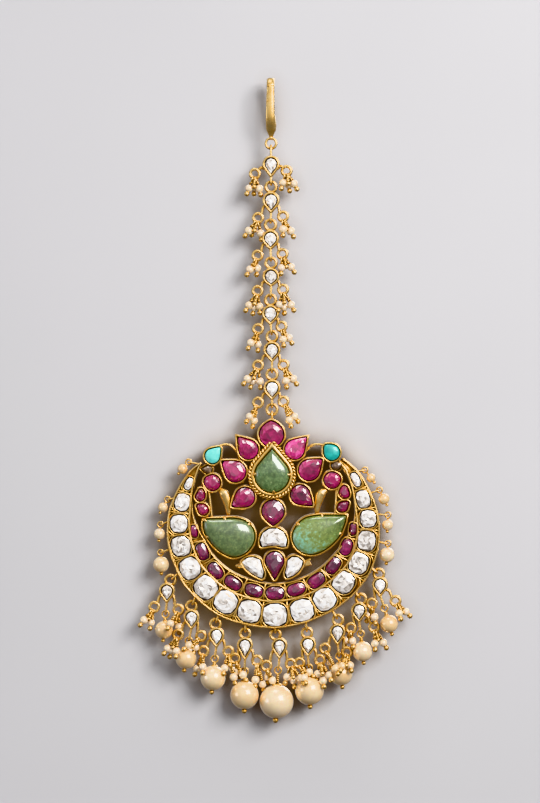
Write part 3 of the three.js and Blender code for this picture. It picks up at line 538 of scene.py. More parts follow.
@dataclass(frozen=True)
class AntiqueGold:
    """22 carat gold, cast and burnished by hand, with brown oxide and painted shade in its recesses and
    painted highlight on its open places.
    """

    worn_and_lit: str = "#FBE2A6"       # rubbed bright where fingers reach, with painted highlight on open places
    body: str = "#E8B65E"       # warm high-carat yellow
    shade: str = "#96662C"      # thin oxide and painted shade in the corners
    oxide_and_shade: str = "#2A190B"      # thick oxide and painted shade at the foot of each bezel
    recess: float = 0.9         # millimetres that the oxide and painted shade reach out of a corner

    def make(self) -> None:
        """Makes the material: colour by how open a place is, oxide and painted shade in recesses and painted
        highlight where open, with a fine hammered grain.
        """
        _, tree, shader = blank(Finish.GOLD.value, Metallic=1.0)
        place = add(tree, "ShaderNodeTexCoord").outputs["Object"]
        # ambient occlusion sets the colour: oxide and painted shade in recesses, painted highlight where open
        open_air = add(tree, "ShaderNodeAmbientOcclusion", {"Distance": self.recess * MM}, samples=8)
        cloud = add(tree, "ShaderNodeTexNoise", {"Vector": place, "Scale": per_mm(1.1), "Detail": 5.0})
        worn_and_lit = add(tree, "ShaderNodeMath", {0: cloud.outputs[0], 1: 0.55, 2: open_air.outputs["AO"]},
                   operation="MULTIPLY_ADD")
        share = add(tree, "ShaderNodeMapRange", {0: worn_and_lit.outputs[0], 1: 0.25, 2: 1.45})
        colour = add(tree, "ShaderNodeValToRGB", {0: share.outputs[0]},
                     stops=[(0.18, self.oxide_and_shade), (0.42, self.shade), (0.7, self.body), (1.0, self.worn_and_lit)])
        rough = add(tree, "ShaderNodeMapRange", {0: share.outputs[0], 1: 0.3, 2: 1.0, 3: 0.5, 4: 0.2})
        grain = add(tree, "ShaderNodeTexNoise", {"Vector": place, "Scale": per_mm(0.35), "Detail": 3.0})
        bump = add(tree, "ShaderNodeBump", {"Height": grain.outputs[0], "Strength": 0.25,
                                            "Distance": 0.05 * MM})
        tree.links.new(colour.outputs[0], shader.inputs["Base Color"])
        tree.links.new(rough.outputs[0], shader.inputs["Roughness"])
        tree.links.new(bump.outputs[0], shader.inputs["Normal"])


@dataclass(frozen=True)
class LacAndShadeSeat:
    """Blackened lac and oxide under and round a stone, matt and nearly black, with painted shade in the
    groove round it.
    """

    deep: str = "#140B06"       # the thin dark line round each stone: lac with painted shade
    brown: str = "#3B2412"      # dust and wax rubbed into it

    def make(self) -> None:
        """Makes the material: dull, with a crumbly change of shade."""
        _, tree, shader = blank(Finish.SEAT.value, Roughness=0.7)
        place = add(tree, "ShaderNodeTexCoord").outputs["Object"]
        cloud = add(tree, "ShaderNodeTexNoise", {"Vector": place, "Scale": per_mm(0.5)})
        colour = add(tree, "ShaderNodeValToRGB", {0: cloud.outputs[0]},
                     stops=[(0.35, self.deep), (0.7, self.brown)])
        tree.links.new(colour.outputs[0], shader.inputs["Base Color"])


@dataclass(frozen=True)
class ClearStone:
    """A foil-backed gem: its body is seen as patches of light thrown back by the foil."""

    finish: Finish
    stops: tuple[tuple[float, str], ...]    # patch colours from dark to light
    patch: float                            # width of a patch in millimetres
    ior: float
    patchy: float = 0.25                    # how far the patches differ
    cloudy: float = 0.8                     # how strong the clouds in the body are
    facet: float = 0.3                      # how far the facets differ
    glow: float = 0.0                       # how much lighter the side away from the lamp is
    speckle: float = 0.0                    # how strong the mineral specks are
    metal: float = 0.0                      # how much the foil shows as metal
    rough: float = 0.22
    polish: float = 1.0                     # clear top surface over the body
    scatter: float = 0.0                    # milky light under the surface

    def make(self) -> None:
        """Makes the material: patches, clouds, specks and a painted glow on the side away from the lamp,
        under a polish.
        """
        _, tree, shader = blank(self.finish.value, Metallic=self.metal, Roughness=self.rough, IOR=self.ior,
                                Coat_Weight=self.polish, Coat_Roughness=0.03, Coat_IOR=self.ior)
        shader.inputs["Subsurface Weight"].default_value = self.scatter
        shader.inputs["Subsurface Scale"].default_value = 0.8 * MM
        place = add(tree, "ShaderNodeTexCoord").outputs["Object"]
        cells = add(tree, "ShaderNodeTexVoronoi", {"Vector": place, "Scale": per_mm(self.patch)})
        cell = add(tree, "ShaderNodeSeparateColor", {0: cells.outputs["Color"]})
        cloud = add(tree, "ShaderNodeTexNoise", {"Vector": place, "Scale": per_mm(self.patch * 0.8),
                                                 "Detail": 6.0, "Roughness": 0.65})
        specks = add(tree, "ShaderNodeTexVoronoi", {"Vector": place, "Scale": per_mm(0.5)})
        near = add(tree, "ShaderNodeMapRange",
                   {0: specks.outputs["Distance"], 1: 0.1, 2: 0.45, 3: 1.0, 4: 0.0})
        value = 0.5 - (self.cloudy + self.patchy + self.facet) / 2
        parts = ((cloud.outputs[0], self.cloudy), (cell.outputs[0], self.patchy),
                 (add(tree, "ShaderNodeAttribute", attribute_name="tone").outputs["Fac"], self.facet),
                 (add(tree, "ShaderNodeAttribute", attribute_name="glow").outputs["Fac"], -self.glow),
                 (near.outputs[0], self.speckle))
        for part, strength in parts:
            value = add(tree, "ShaderNodeMath", {0: part, 1: strength, 2: value},
                        operation="MULTIPLY_ADD").outputs[0]
        colour = add(tree, "ShaderNodeValToRGB", {0: value}, stops=list(self.stops))
        tree.links.new(colour.outputs[0], shader.inputs["Base Color"])


@dataclass(frozen=True)
class CulturedPearl:
    """Nacre: a soft satin body under a clear gloss, cream with a rosy, golden turn."""

    shade: str = "#EDCB95"      # the golden side of a large pearl
    body: str = "#F8EAD2"       # warm cream
    light: str = "#FFF8F0"      # nearly white, as on the seed pearls
    film: str = "#FFEFD2"       # clear layers that turn the pearl's edge golden
    lustre: float = 0.34        # how far light comes back as from metal, in one broad soft spot
    scatter: float = 0.15       # milky light from under the surface

    def make(self) -> None:
        """Makes the material: broad clouds of colour under a glossy coat."""
        _, tree, shader = blank(Finish.PEARL.value, Roughness=0.24, Metallic=self.lustre, IOR=1.6,
                                Coat_Weight=1.0, Coat_Roughness=0.12, Coat_IOR=2.0)
        shader.inputs["Subsurface Weight"].default_value = self.scatter
        shader.inputs["Subsurface Scale"].default_value = 0.6 * MM
        shader.inputs["Subsurface Radius"].default_value = (1.0, 0.7, 0.45)
        shader.inputs["Coat Tint"].default_value = srgb(self.film)
        place = add(tree, "ShaderNodeTexCoord").outputs["Object"]
        cloud = add(tree, "ShaderNodeTexNoise", {"Vector": place, "Scale": per_mm(7.0), "Detail": 1.0})
        tone = add(tree, "ShaderNodeAttribute", attribute_name="tone")
        both = add(tree, "ShaderNodeMath", {0: tone.outputs["Fac"], 1: 0.35, 2: cloud.outputs[0]},
                   operation="MULTIPLY_ADD")
        colour = add(tree, "ShaderNodeValToRGB", {0: both.outputs[0]},
                     stops=[(0.4, self.shade), (0.65, self.body), (0.9, self.light)])
        tree.links.new(colour.outputs[0], shader.inputs["Base Color"])


STONE_FINISHES = (
    ClearStone(Finish.DIAMOND, ((0.1, "#8F867C"), (0.34, "#CCC5BD"), (0.56, "#F2EEE9"), (0.75, "#FFFFFF")),
               patch=0.8, ior=1.8, patchy=0.25, cloudy=0.7, facet=0.55, metal=0.25, rough=0.14),
    ClearStone(Finish.RUBY, ((0.1, "#30041A"), (0.38, "#6E0A3C"), (0.64, "#9E1456"), (0.95, "#CC4086")),
               patch=1.4, ior=1.77, cloudy=0.7, facet=0.5, glow=0.12, rough=0.25),
    ClearStone(Finish.DEEP, ((0.1, "#25031A"), (0.38, "#560934"), (0.64, "#82114D"), (0.95, "#B63A7C")),
               patch=1.4, ior=1.77, cloudy=0.7, facet=0.5, glow=0.12, rough=0.25),
    ClearStone(Finish.PINK, ((0.1, "#7E1048"), (0.38, "#BE2472"), (0.64, "#E24E9F"), (0.95, "#FFB0DC")),
               patch=1.3, ior=1.77, patchy=0.4, facet=0.5, glow=0.12, rough=0.25),
    ClearStone(Finish.MOSS, ((0.1, "#3A472D"), (0.38, "#5A6B46"), (0.62, "#748756"), (0.92, "#A0AD7C")),
               patch=0.9, ior=1.57, patchy=0.12, cloudy=0.9, glow=0.05, speckle=0.14, rough=0.3, scatter=0.1),
    # its glow paints the lower left lighter, towards aqua: painted glow
    ClearStone(Finish.OLIVE, ((0.1, "#3B4A26"), (0.38, "#5D6F38"), (0.6, "#7A8B4A"), (0.9, "#84C0AA")),
               patch=0.9, ior=1.57, patchy=0.12, cloudy=0.9, glow=0.3, speckle=0.18, rough=0.3, scatter=0.15),
    ClearStone(Finish.HEART, ((0.1, "#32432A"), (0.38, "#516840"), (0.62, "#6F8758"), (0.92, "#AFB78A")),
               patch=0.8, ior=1.57, patchy=0.12, cloudy=1.0, glow=0.08, speckle=0.2, rough=0.3, scatter=0.1),
    ClearStone(Finish.SKY, ((0.1, "#3DA69F"), (0.45, "#5FC4BC"), (0.7, "#7AD2C9"), (0.95, "#A5E4DA")),
               patch=0.7, ior=1.61, rough=0.4, polish=0.35),
    ClearStone(Finish.SEA, ((0.1, "#0C7A79"), (0.45, "#1A968F"), (0.7, "#2FAEA4"), (0.95, "#6FCFC3")),
               patch=0.7, ior=1.61, rough=0.4, polish=0.35),
    ClearStone(Finish.SMOKE, ((0.1, "#2A1D14"), (0.45, "#54402F"), (0.7, "#7E6853"), (0.95, "#C7B8A6")),
               patch=0.6, ior=1.55, rough=0.25),
)


def add_stone(piece: Piece, outline: np.ndarray, cut: Cut, finish: Finish, rim: float, rise: float,
              seed: int, base: float = SEAT - 0.12) -> None:
    """Adds a stone that stands above its rim.

    Args:
        piece: the piece that gets the stone.
        outline: its smooth outline.
        cut: how it is shaped.
        finish: what it is made of.
        rim: y of the metal round it.
        rise: how far it stands above that.
        seed: sets its own unevenness.
        base: y of its flat underside.
    """
    luck = random.Random(seed)
    tone = luck.random()
    middle = outline.mean(axis=0)
    if cut is Cut.DOME:
        away = outline - middle
        reach = np.linalg.norm(away, axis=1, keepdims=True)
        even = away / reach * reach.mean()
        rings = [lifted(outline, y) for y in (base, rim)]
        for height in np.sin(np.linspace(0, math.pi / 2, 16)[1:]):
            flat = math.sqrt(1 - min(height, 0.9985) ** 2)
            shape = away + (even - away) * min(1.0, (1 - flat) * 0.9)
            rings.append(lifted(middle + shape * flat, rim - rise * height))
        piece.grid(np.stack(rings), finish, caps=True, tone=tone)
        return
    uncut = cut is Cut.UNCUT
    corners = spaced(np.vstack([outline, outline[0]]), 10 if uncut else 14, closed=True)
    halfway = (corners + np.roll(corners, -1, axis=0)) / 2
    loose = 0.13 if uncut else 0.03
    lean = np.array([luck.uniform(-1, 1), luck.uniform(-1, 1)]) * (0.05 if uncut else 0.09)

    def layer(points: np.ndarray, scale: float, y: float) -> np.ndarray:
        """One ring of the stone's corners, scaled, tilted and made a little uneven.

        Args:
            points: corners of the ring, [x, z].
            scale: its size as a share of the outline's.
            y: its depth.

        Returns:
            The ring's points.
        """
        ring = []
        for point in points:
            away = (point - middle) * scale * (1 + luck.uniform(-loose, loose) * 1.5)
            x, z = middle + away
            ring.append([x, y + float(np.dot(away, lean)) + luck.uniform(-loose, loose), z])
        return np.array(ring)

    rings = [
        lifted(corners, base),
        lifted(corners, rim),
        layer(halfway, 0.8, rim - rise * 0.6),
        layer(corners, 0.5, rim - rise * 0.95),
    ]
    if uncut:
        rings.append(layer(halfway, 0.22, rim - rise))
    piece.grid(np.stack(rings), finish, caps=True, smooth=False, triangles=True, tone=tone * 0.5 + 0.25,
               spread=0.5 if uncut else 0.25)


def add_bezel(piece: Piece, outline: np.ndarray, rim: float, wall: float, back: float = BACK,
              groove: float = 0.14) -> None:
    """Adds a rubbed-over gold wall round a stone, with the dark seat between them: lac with painted shade.

    Args:
        piece: the piece that gets the bezel.
        outline: the stone's outline.
        rim: y of the wall's front edge.
        wall: its width from the stone outwards.
        back: y of its back.
        groove: width of the dark line round the stone, lac with painted shade.
    """
    piece.skirt(outline, [
        (groove, SEAT), (groove, rim + 0.1), (groove + 0.04, rim + 0.02), (groove + 0.1, rim - 0.02),
        ((groove + wall) / 2, rim - 0.05), (wall - 0.1, rim), (wall - 0.02, rim + 0.12),
        (wall + 0.02, rim + 0.4), (wall + 0.03, back - 0.15), (wall - 0.1, back), (groove, back),
    ])
    # the dark seat floor in the groove is lac with painted shade
    piece.floor(grown(outline, groove + 0.05), SEAT + 0.1, Finish.SEAT)
    piece.floor(grown(outline, groove + 0.05), back - 0.3, Finish.GOLD)


def add_claw(piece: Piece, place: np.ndarray, inwards: np.ndarray, rim: float, size: float = 0.42) -> None:
    """Adds a small pointed claw that bends over a stone's edge towards its middle.

    Args:
        piece: the piece that gets the claw.
        place: where it crosses the stone's edge, [x, z].
        inwards: direction of the stone's middle.
        rim: y of the metal round the stone.
        size: radius of its root.
    """
    start = upright(place - inwards * 0.35, rim + 0.25)
    knots = np.array([start, upright(place, rim - 0.28), upright(place + inwards * 0.45, rim - 0.38),
                      upright(place + inwards * 0.95, rim - 0.3)])
    line = curve_through(knots, 9)
    piece.tube(line, np.linspace(size, 0.1, len(line)), sides=8, flat=0.6)


def add_eye(piece: Piece, anchor: Sequence[float], ring: Sequence[float], ring_radius: float,
            wire: float = EYE_WIRE, hang: float = 0.6, half: float = 0.56) -> None:
    """Adds a soldered eye, seen edge on, that a ring hangs in.

    Args:
        piece: the piece that gets the eye.
        anchor: where it is soldered, [x, z].
        ring: middle of the ring that hangs in it, [x, z].
        ring_radius: that ring's wire-centre radius.
        wire: the eye's own wire radius.
        hang: from wire centre to wire centre.
        half: half of its width, front to back.
    """
    anchor, ring = np.asarray(anchor), np.asarray(ring)
    along = unit(ring - anchor)
    end = ring + along * (hang - ring_radius)
    bend = end - along * half
    knots = [upright(anchor, half)]
    for degrees in range(90, -91, -20):
        angle = math.radians(degrees)
        knots.append(upright(bend + along * half * math.cos(angle), half * math.sin(angle)))
    knots.append(upright(anchor, -half))
    piece.tube(curve_through(knots, 22), wire, sides=10)


def add_pin(metal: Piece, pearls: Piece, ring: np.ndarray, pearl: np.ndarray, radius: float,
            granule: float, wire: float, ring_radius: float, tone: float) -> None:
    """Adds a headpin with its loop, its wraps, its pearl and the gold ball at its foot.

    Args:
        metal: the piece that gets the gold.
        pearls: the piece that gets the pearl.
        ring: middle of the ring that it hangs in, a point [x, y, z].
        pearl: middle of the pearl, a point [x, y, z].
        radius: the pearl's radius.
        granule: radius of the ball at the foot.
        wire: radius of the pin's wire.
        ring_radius: wire-centre radius of the ring.
        tone: the pearl's own shade, from 0 to 1.
    """
    along = unit(pearl - ring)
    loop_radius = wire * 3.4
    loop = ring + along * (ring_radius + loop_radius * 0.55)
    top = pearl - along * radius * 0.96
    across = unit(np.cross(along, [0.25, 1.0, 0.15]))
    metal.hoop(loop, loop_radius, wire, normal=across, steps=16, sides=6)
    start = loop + along * loop_radius
    length = float(np.dot(top - start, along))
    if length > wire:
        turns = max(1, int(length / (wire * 2.1)))
        metal.coil(start, top - start, across, np.cross(along, across), turns, turns * 10, wire * 1.5,
                   wire * 0.9)
        metal.tube(np.linspace(start - along * wire, top, 3), wire * 1.1, sides=6)
    pearls.ball(pearl, radius, Finish.PEARL, steps=26 if radius > 1.2 else 18, tone=tone + 0.9)
    foot = pearl + along * (radius + granule * 0.8)
    metal.ball(foot, granule, Finish.GOLD, steps=12)
    metal.hoop(foot - along * granule * 0.75, granule * 0.5, granule * 0.28, normal=along, steps=10, sides=5)


def add_tassel(metal: Piece, ring: np.ndarray, below: np.ndarray, y: float) -> None:
    """Adds a short coiled pin with a gold ball only, in front of a bunch's pearls.

    Args:
        metal: the piece that gets it.
        ring: middle of its jump ring, [x, z].
        below: middle of the bunch's pearls, [x, z].
        y: how far forward the last pearl hangs.
    """
    along = unit(below - ring)
    start = upright(ring + along * (RING - 0.1), -0.3)
    end = upright(ring + along * 2.3, y - 0.75)
    across = unit(np.cross(end - start, [0.0, 1.0, 0.0]))
    other = unit(np.cross(end - start, across))
    metal.coil(start, end - start, across, other, 5, 45, PIN_WIRE * 1.4, PIN_WIRE * 0.85)
    metal.ball(end + unit(end - start) * GRANULE * 0.7, GRANULE * 0.85, Finish.GOLD, steps=12)


@dataclass(frozen=True)
class Bunch:
    """Seed pearls on one jump ring, by their pixels in the photograph."""

    owner: int
    ring: tuple[float, float]
    pearls: tuple[tuple[float, float], ...]


# Jump rings and seed pearls of each link of the chain, as pixels read off the photograph.
CHAIN_BUNCHES = (
    Bunch(0, (254.9, 173.8), ((249.0, 188.6), (254.2, 187.4), (259.0, 188.8))),
    Bunch(0, (286.5, 171.0), ((283.0, 183.0), (288.6, 184.4), (293.8, 183.8))),
    Bunch(1, (258.0, 218.0), ((248.6, 231.0), (253.8, 229.0), (260.4, 233.4))),
    Bunch(1, (283.0, 216.5), ((283.0, 229.4), (290.6, 231.0))),
    Bunch(2, (257.5, 255.5), ((249.8, 269.6), (256.8, 268.4))),
    Bunch(2, (282.5, 254.0), ((281.4, 268.0), (291.0, 267.0))),
    Bunch(3, (257.5, 291.0), ((248.8, 305.4), (254.0, 307.6), (259.2, 306.6))),
    Bunch(3, (283.0, 289.5), ((279.4, 304.8), (284.0, 307.4), (291.0, 305.0))),
    Bunch(4, (258.0, 329.0), ((250.8, 343.0), (257.8, 344.6))),
    Bunch(4, (281.5, 326.5), ((283.0, 339.6), (288.6, 338.0))),
    Bunch(5, (258.0, 365.5), ((247.4, 379.0), (252.4, 381.6), (259.8, 381.6))),
    Bunch(5, (283.5, 365.0), ((285.8, 381.0), (293.0, 379.0))),
    Bunch(6, (258.0, 402.5), ((249.4, 416.6), (253.8, 420.8))),
    Bunch(6, (283.5, 401.5), ((289.2, 420.2), (294.4, 416.6))),
)
# The same for each drop.
DROP_BUNCHES = (
    Bunch(0, (154.3, 606.8), ((144.0, 620.0), (151.0, 623.0))),
    Bunch(0, (178.4, 609.5), ((170.7, 623.0), (179.0, 627.0))),
    Bunch(1, (178.0, 634.5), ((167.6, 648.4), (176.6, 650.5), (172.0, 651.0))),
    Bunch(1, (201.0, 636.0), ((189.0, 645.0), (195.7, 647.5))),
    Bunch(2, (203.5, 651.0), ((202.8, 666.6), (196.8, 669.0))),
    Bunch(2, (228.4, 651.4), ((224.8, 667.5), (232.6, 668.5), (233.8, 677.0))),
    Bunch(3, (235.0, 658.5), ((243.0, 674.6), (237.6, 671.0))),
    Bunch(3, (257.0, 660.5), ((255.4, 679.6), (262.6, 684.5))),
    Bunch(4, (266.4, 665.7), ((272.5, 680.4), (267.6, 677.0))),
    Bunch(4, (290.6, 664.0), ((286.8, 677.0), (293.6, 680.6), (300.4, 677.4))),
    Bunch(5, (299.5, 663.0), ((304.0, 677.0), (309.0, 672.0))),
    Bunch(5, (320.0, 660.0), ((317.7, 673.8), (328.4, 674.3), (323.0, 680.0))),
    Bunch(6, (325.0, 648.5), ((335.0, 667.5), (329.4, 662.0))),
    Bunch(6, (347.0, 652.0), ((341.8, 665.0), (349.8, 664.7))),
    Bunch(7, (351.0, 628.0), ((352.5, 641.0), (346.6, 640.6))),
    Bunch(7, (374.0, 627.0), ((374.8, 643.4), (383.4, 643.0))),
    Bunch(8, (372.0, 603.5), ((374.3, 617.0), (368.6, 615.4))),
    Bunch(8, (395.5, 601.0), ((399.0, 613.0), (406.0, 612.0))),
)


def add_bunch(metal: Piece, pearls: Piece, bunch: Bunch, setting: np.ndarray, seed: int,
              keep_clear: tuple[tuple[float, float, float], ...] = ()) -> None:
    """Adds a soldered arm, its jump ring and the seed pearls that hang from it.

    Args:
        metal: the piece that gets the gold.
        pearls: the piece that gets the pearls.
        bunch: where they are.
        setting: middle of the setting that carries the arm, [x, z].
        seed: sets the pearls' own shades.
        keep_clear: large pearls (x, z, radius) that the seeds lie in front of.
    """
    luck = random.Random(seed)
    ring = at(*bunch.ring)
    side = math.copysign(1.0, ring[0] - setting[0])
    reach = RING - 0.08
    root = setting + np.array([side * 1.1, -0.95])
    touch = ring + np.array([-side * reach * 0.75, reach * 0.7])
    elbow = (root + touch) / 2 + np.array([side * 0.1, 0.45])
    metal.tube(curve_through(np.array([upright(p) for p in (setting, root, elbow, touch)]), 14), ARM_WIRE,
               sides=8)
    metal.hoop(upright(ring), reach, WIRE)
    for i, place in enumerate(bunch.pearls):
        middle = at(*place)
        y = (-0.45, 0.55, -0.1)[i]
        for x, z, radius in keep_clear:
            away = math.hypot(middle[0] - x, middle[1] - z)
            space = radius + SEED + 0.05
            if away < space:
                y = min(y, -math.sqrt(space**2 - away**2))
        add_pin(metal, pearls, upright(ring), upright(middle, y), SEED * luck.uniform(0.94, 1.05), GRANULE,
                PIN_WIRE, reach, luck.random())
    add_tassel(metal, ring, np.mean([at(*place) for place in bunch.pearls], axis=0), y)


@dataclass(frozen=True)
class LinkSetting:
    """A pear-shaped setting, tip down, with a small uncut diamond."""

    middle: tuple[float, float]     # middle of its round end, [x, z]
    radius: float
    tip: float                      # from the middle to the lower tip
    front: float = -0.8
    back: float = 0.7

    def build(self, metal: Piece, stones: Piece, seed: int) -> None:
        """Adds the setting's wall and seat to the metal, and its stone to the stones.

        Args:
            metal: the piece that gets the wall and the seat.
            stones: the piece that gets the stone.
            seed: sets the stone's unevenness.
        """
        x, z = self.middle
        edge = 0.52
        outline = drop_outline(x, z, self.radius - edge, self.tip - edge * 1.7)
        metal.skirt(outline, [
            (0.16, 0.0), (0.16, self.front + 0.06), (0.22, self.front - 0.03), (0.34, self.front - 0.08),
            (0.48, self.front), (0.58, self.front + 0.16), (0.62, self.back - 0.2), (0.46, self.back),
            (0.1, self.back),
        ])
        metal.floor(grown(outline, 0.4), 0.35, Finish.GOLD)
        metal.floor(grown(outline, 0.2), -0.15, Finish.SEAT)
        add_stone(stones, outline, Cut.UNCUT, Finish.DIAMOND, self.front + 0.1, 0.4, seed, base=0.0)


@dataclass(frozen=True)
class Hook:
    """The hook: a flattened wire bent over to the back, with a ring soldered to its foot."""

    x: float = -0.3                             # middle of its front limb
    ring: tuple[float, float] = (-0.2, -12.7)   # middle of the ring at its foot
    ring_wire: float = 0.25                     # radius of that ring's wire
    bend: float = 1.62                          # radius of the bend
    bend_height: float = -1.5                   # Z of the bend's middle
    flat: float = 0.42                          # the wire's thickness as a share of its width
    tail: int = 6                               # points over which its free end narrows

    def build(self) -> None:
        """Makes the hook as one piece of gold."""
        piece = Piece("hook_metal")
        arc = []
        for degrees in range(190, -11, -10):
            angle = math.radians(degrees)
            arc.append([self.x, self.bend * math.cos(angle), self.bend * math.sin(angle) + self.bend_height])
        foot = self.ring[1] + 1.0
        knots = [
            [self.ring[0], 0.0, foot], [self.ring[0], -0.35, foot + 1.6], [self.x - 0.05, -1.3, -7.4],
            *arc, [self.x + 0.15, 1.7, -5.6], [self.x + 0.4, 1.78, -7.8], [self.x + 0.75, 2.2, -10.1],
        ]
        line = curve_through(knots, 90)
        width = np.interp(line[:, 2], [-11.6, -11.0, -10.0, -8.0, -1.0], [0.34, 0.5, 0.95, 0.92, 0.74])
        width[line[:, 1] > 0.6] = 0.6
        tail = np.arange(len(line)) >= len(line) - self.tail + 1
        width[tail] = np.linspace(0.58, 0.3, int(tail.sum()))
        piece.tube(line, width, sides=16, flat=self.flat)
        piece.hoop(upright(self.ring), LINK_RING, self.ring_wire, steps=32)
        piece.ball(upright(np.array([self.ring[0], foot + 0.1])), 0.42, Finish.GOLD, steps=14)
        piece.finished("root", "gold", "hook")


@dataclass(frozen=True)
class ChainRow:
    """One link of the chain: x, its ring's middle and its setting's tip."""

    x: float
    ring: float | None
    tip: float


CHAIN = (
    ChainRow(-0.2, None, -19.6), ChainRow(-0.2, -21.4, -26.8), ChainRow(-0.3, -29.0, -34.2),
    ChainRow(-0.2, -36.6, -41.6), ChainRow(-0.3, -44.0, -49.2), ChainRow(0.0, -51.3, -56.6),
    ChainRow(0.0, -58.9, -64.2),
)
PENDANT_RING = np.array([0.0, -65.9])


@dataclass(frozen=True)
class Chain:
    """The seven stone-set links between the hook and the pendant."""

    radius: float = 1.66        # round end of a setting
    first_top: float = -15.2    # Z of the first setting's top
    stone_seed: int = 40
    bunch_seed: int = 100

    def build(self) -> None:
        """Makes each link's metal, stone and seed pearls, and the ring below them."""
        for i, row in enumerate(CHAIN):
            self.link(i, row)
        ring = Piece("pendant_ring_metal")
        ring.hoop(upright(PENDANT_RING), LINK_RING, WIRE, steps=32)
        ring.finished("root", "gold", "pendant_ring")

    def link(self, i: int, row: ChainRow) -> None:
        """Makes one link.

        Args:
            i: its place in the chain, from 0 at the top.
            row: its sizes.
        """
        metal = Piece(f"chain_link_{i + 1}_metal")
        stones = Piece(f"chain_link_{i + 1}_stone")
        pearls = Piece(f"chain_link_{i + 1}_pearls")
        top = self.first_top if row.ring is None else row.ring - LINK_RING
        middle = np.array([row.x, top - self.radius])
        LinkSetting(tuple(middle), self.radius, middle[1] - row.tip).build(metal, stones, self.stone_seed + i)
        if row.ring is None:
            add_eye(metal, [row.x, top - 0.3], Hook.ring, LINK_RING)
        else:
            metal.hoop(upright([row.x, row.ring]), LINK_RING, WIRE, steps=32)
        below = PENDANT_RING if i + 1 == len(CHAIN) else np.array([CHAIN[i + 1].x, CHAIN[i + 1].ring])
        add_eye(metal, [row.x, row.tip + 0.45], below, LINK_RING)
        for j, bunch in enumerate(b for b in CHAIN_BUNCHES if b.owner == i):
            add_bunch(metal, pearls, bunch, middle, self.bunch_seed + 10 * i + j)
        node = f"chain_link_{i + 1}"
        metal.finished("root", "gold", node)
        stones.finished("root", "uncut_diamond", node)
        pearls.finished("root", "pearl", node)


@dataclass(frozen=True)
class DropRow:
    """One drop: its eye in the rim, its ring, its setting, its tip and its large pearl."""

    rim: tuple[float, float]
    ring: tuple[float, float]
    setting: tuple[float, float]
    tip: float
    pearl: tuple[float, float]
    radius: float


DROPS = (
    DropRow((-18.4, -98.4), (-20.3, -100.0), (-21.0, -102.1), -104.7, (-21.6, -110.0), 1.8),
    DropRow((-15.1, -103.0), (-16.1, -105.2), (-16.1, -107.4), -110.0, (-17.2, -115.7), 2.1),
    DropRow((-10.5, -106.5), (-11.3, -108.8), (-11.1, -111.0), -113.6, (-11.8, -119.6), 2.5),
    DropRow((-5.2, -108.3), (-5.4, -110.7), (-5.4, -113.0), -116.1, (-5.5, -123.0), 2.85),
    DropRow((0.6, -109.0), (0.7, -110.9), (1.5, -113.1), -115.9, (0.9, -124.3), 3.4),
    DropRow((6.7, -108.0), (7.0, -110.6), (7.2, -112.8), -115.4, (7.5, -122.1), 2.9),
    DropRow((11.8, -105.7), (13.2, -108.0), (13.1, -110.3), -113.1, (13.8, -118.8), 2.3),
    DropRow((16.2, -102.0), (17.8, -103.8), (17.4, -106.0), -108.6, (18.1, -114.3), 2.0),
    DropRow((19.3, -97.2), (21.4, -98.8), (21.6, -100.9), -103.5, (23.4, -108.8), 1.8),
)


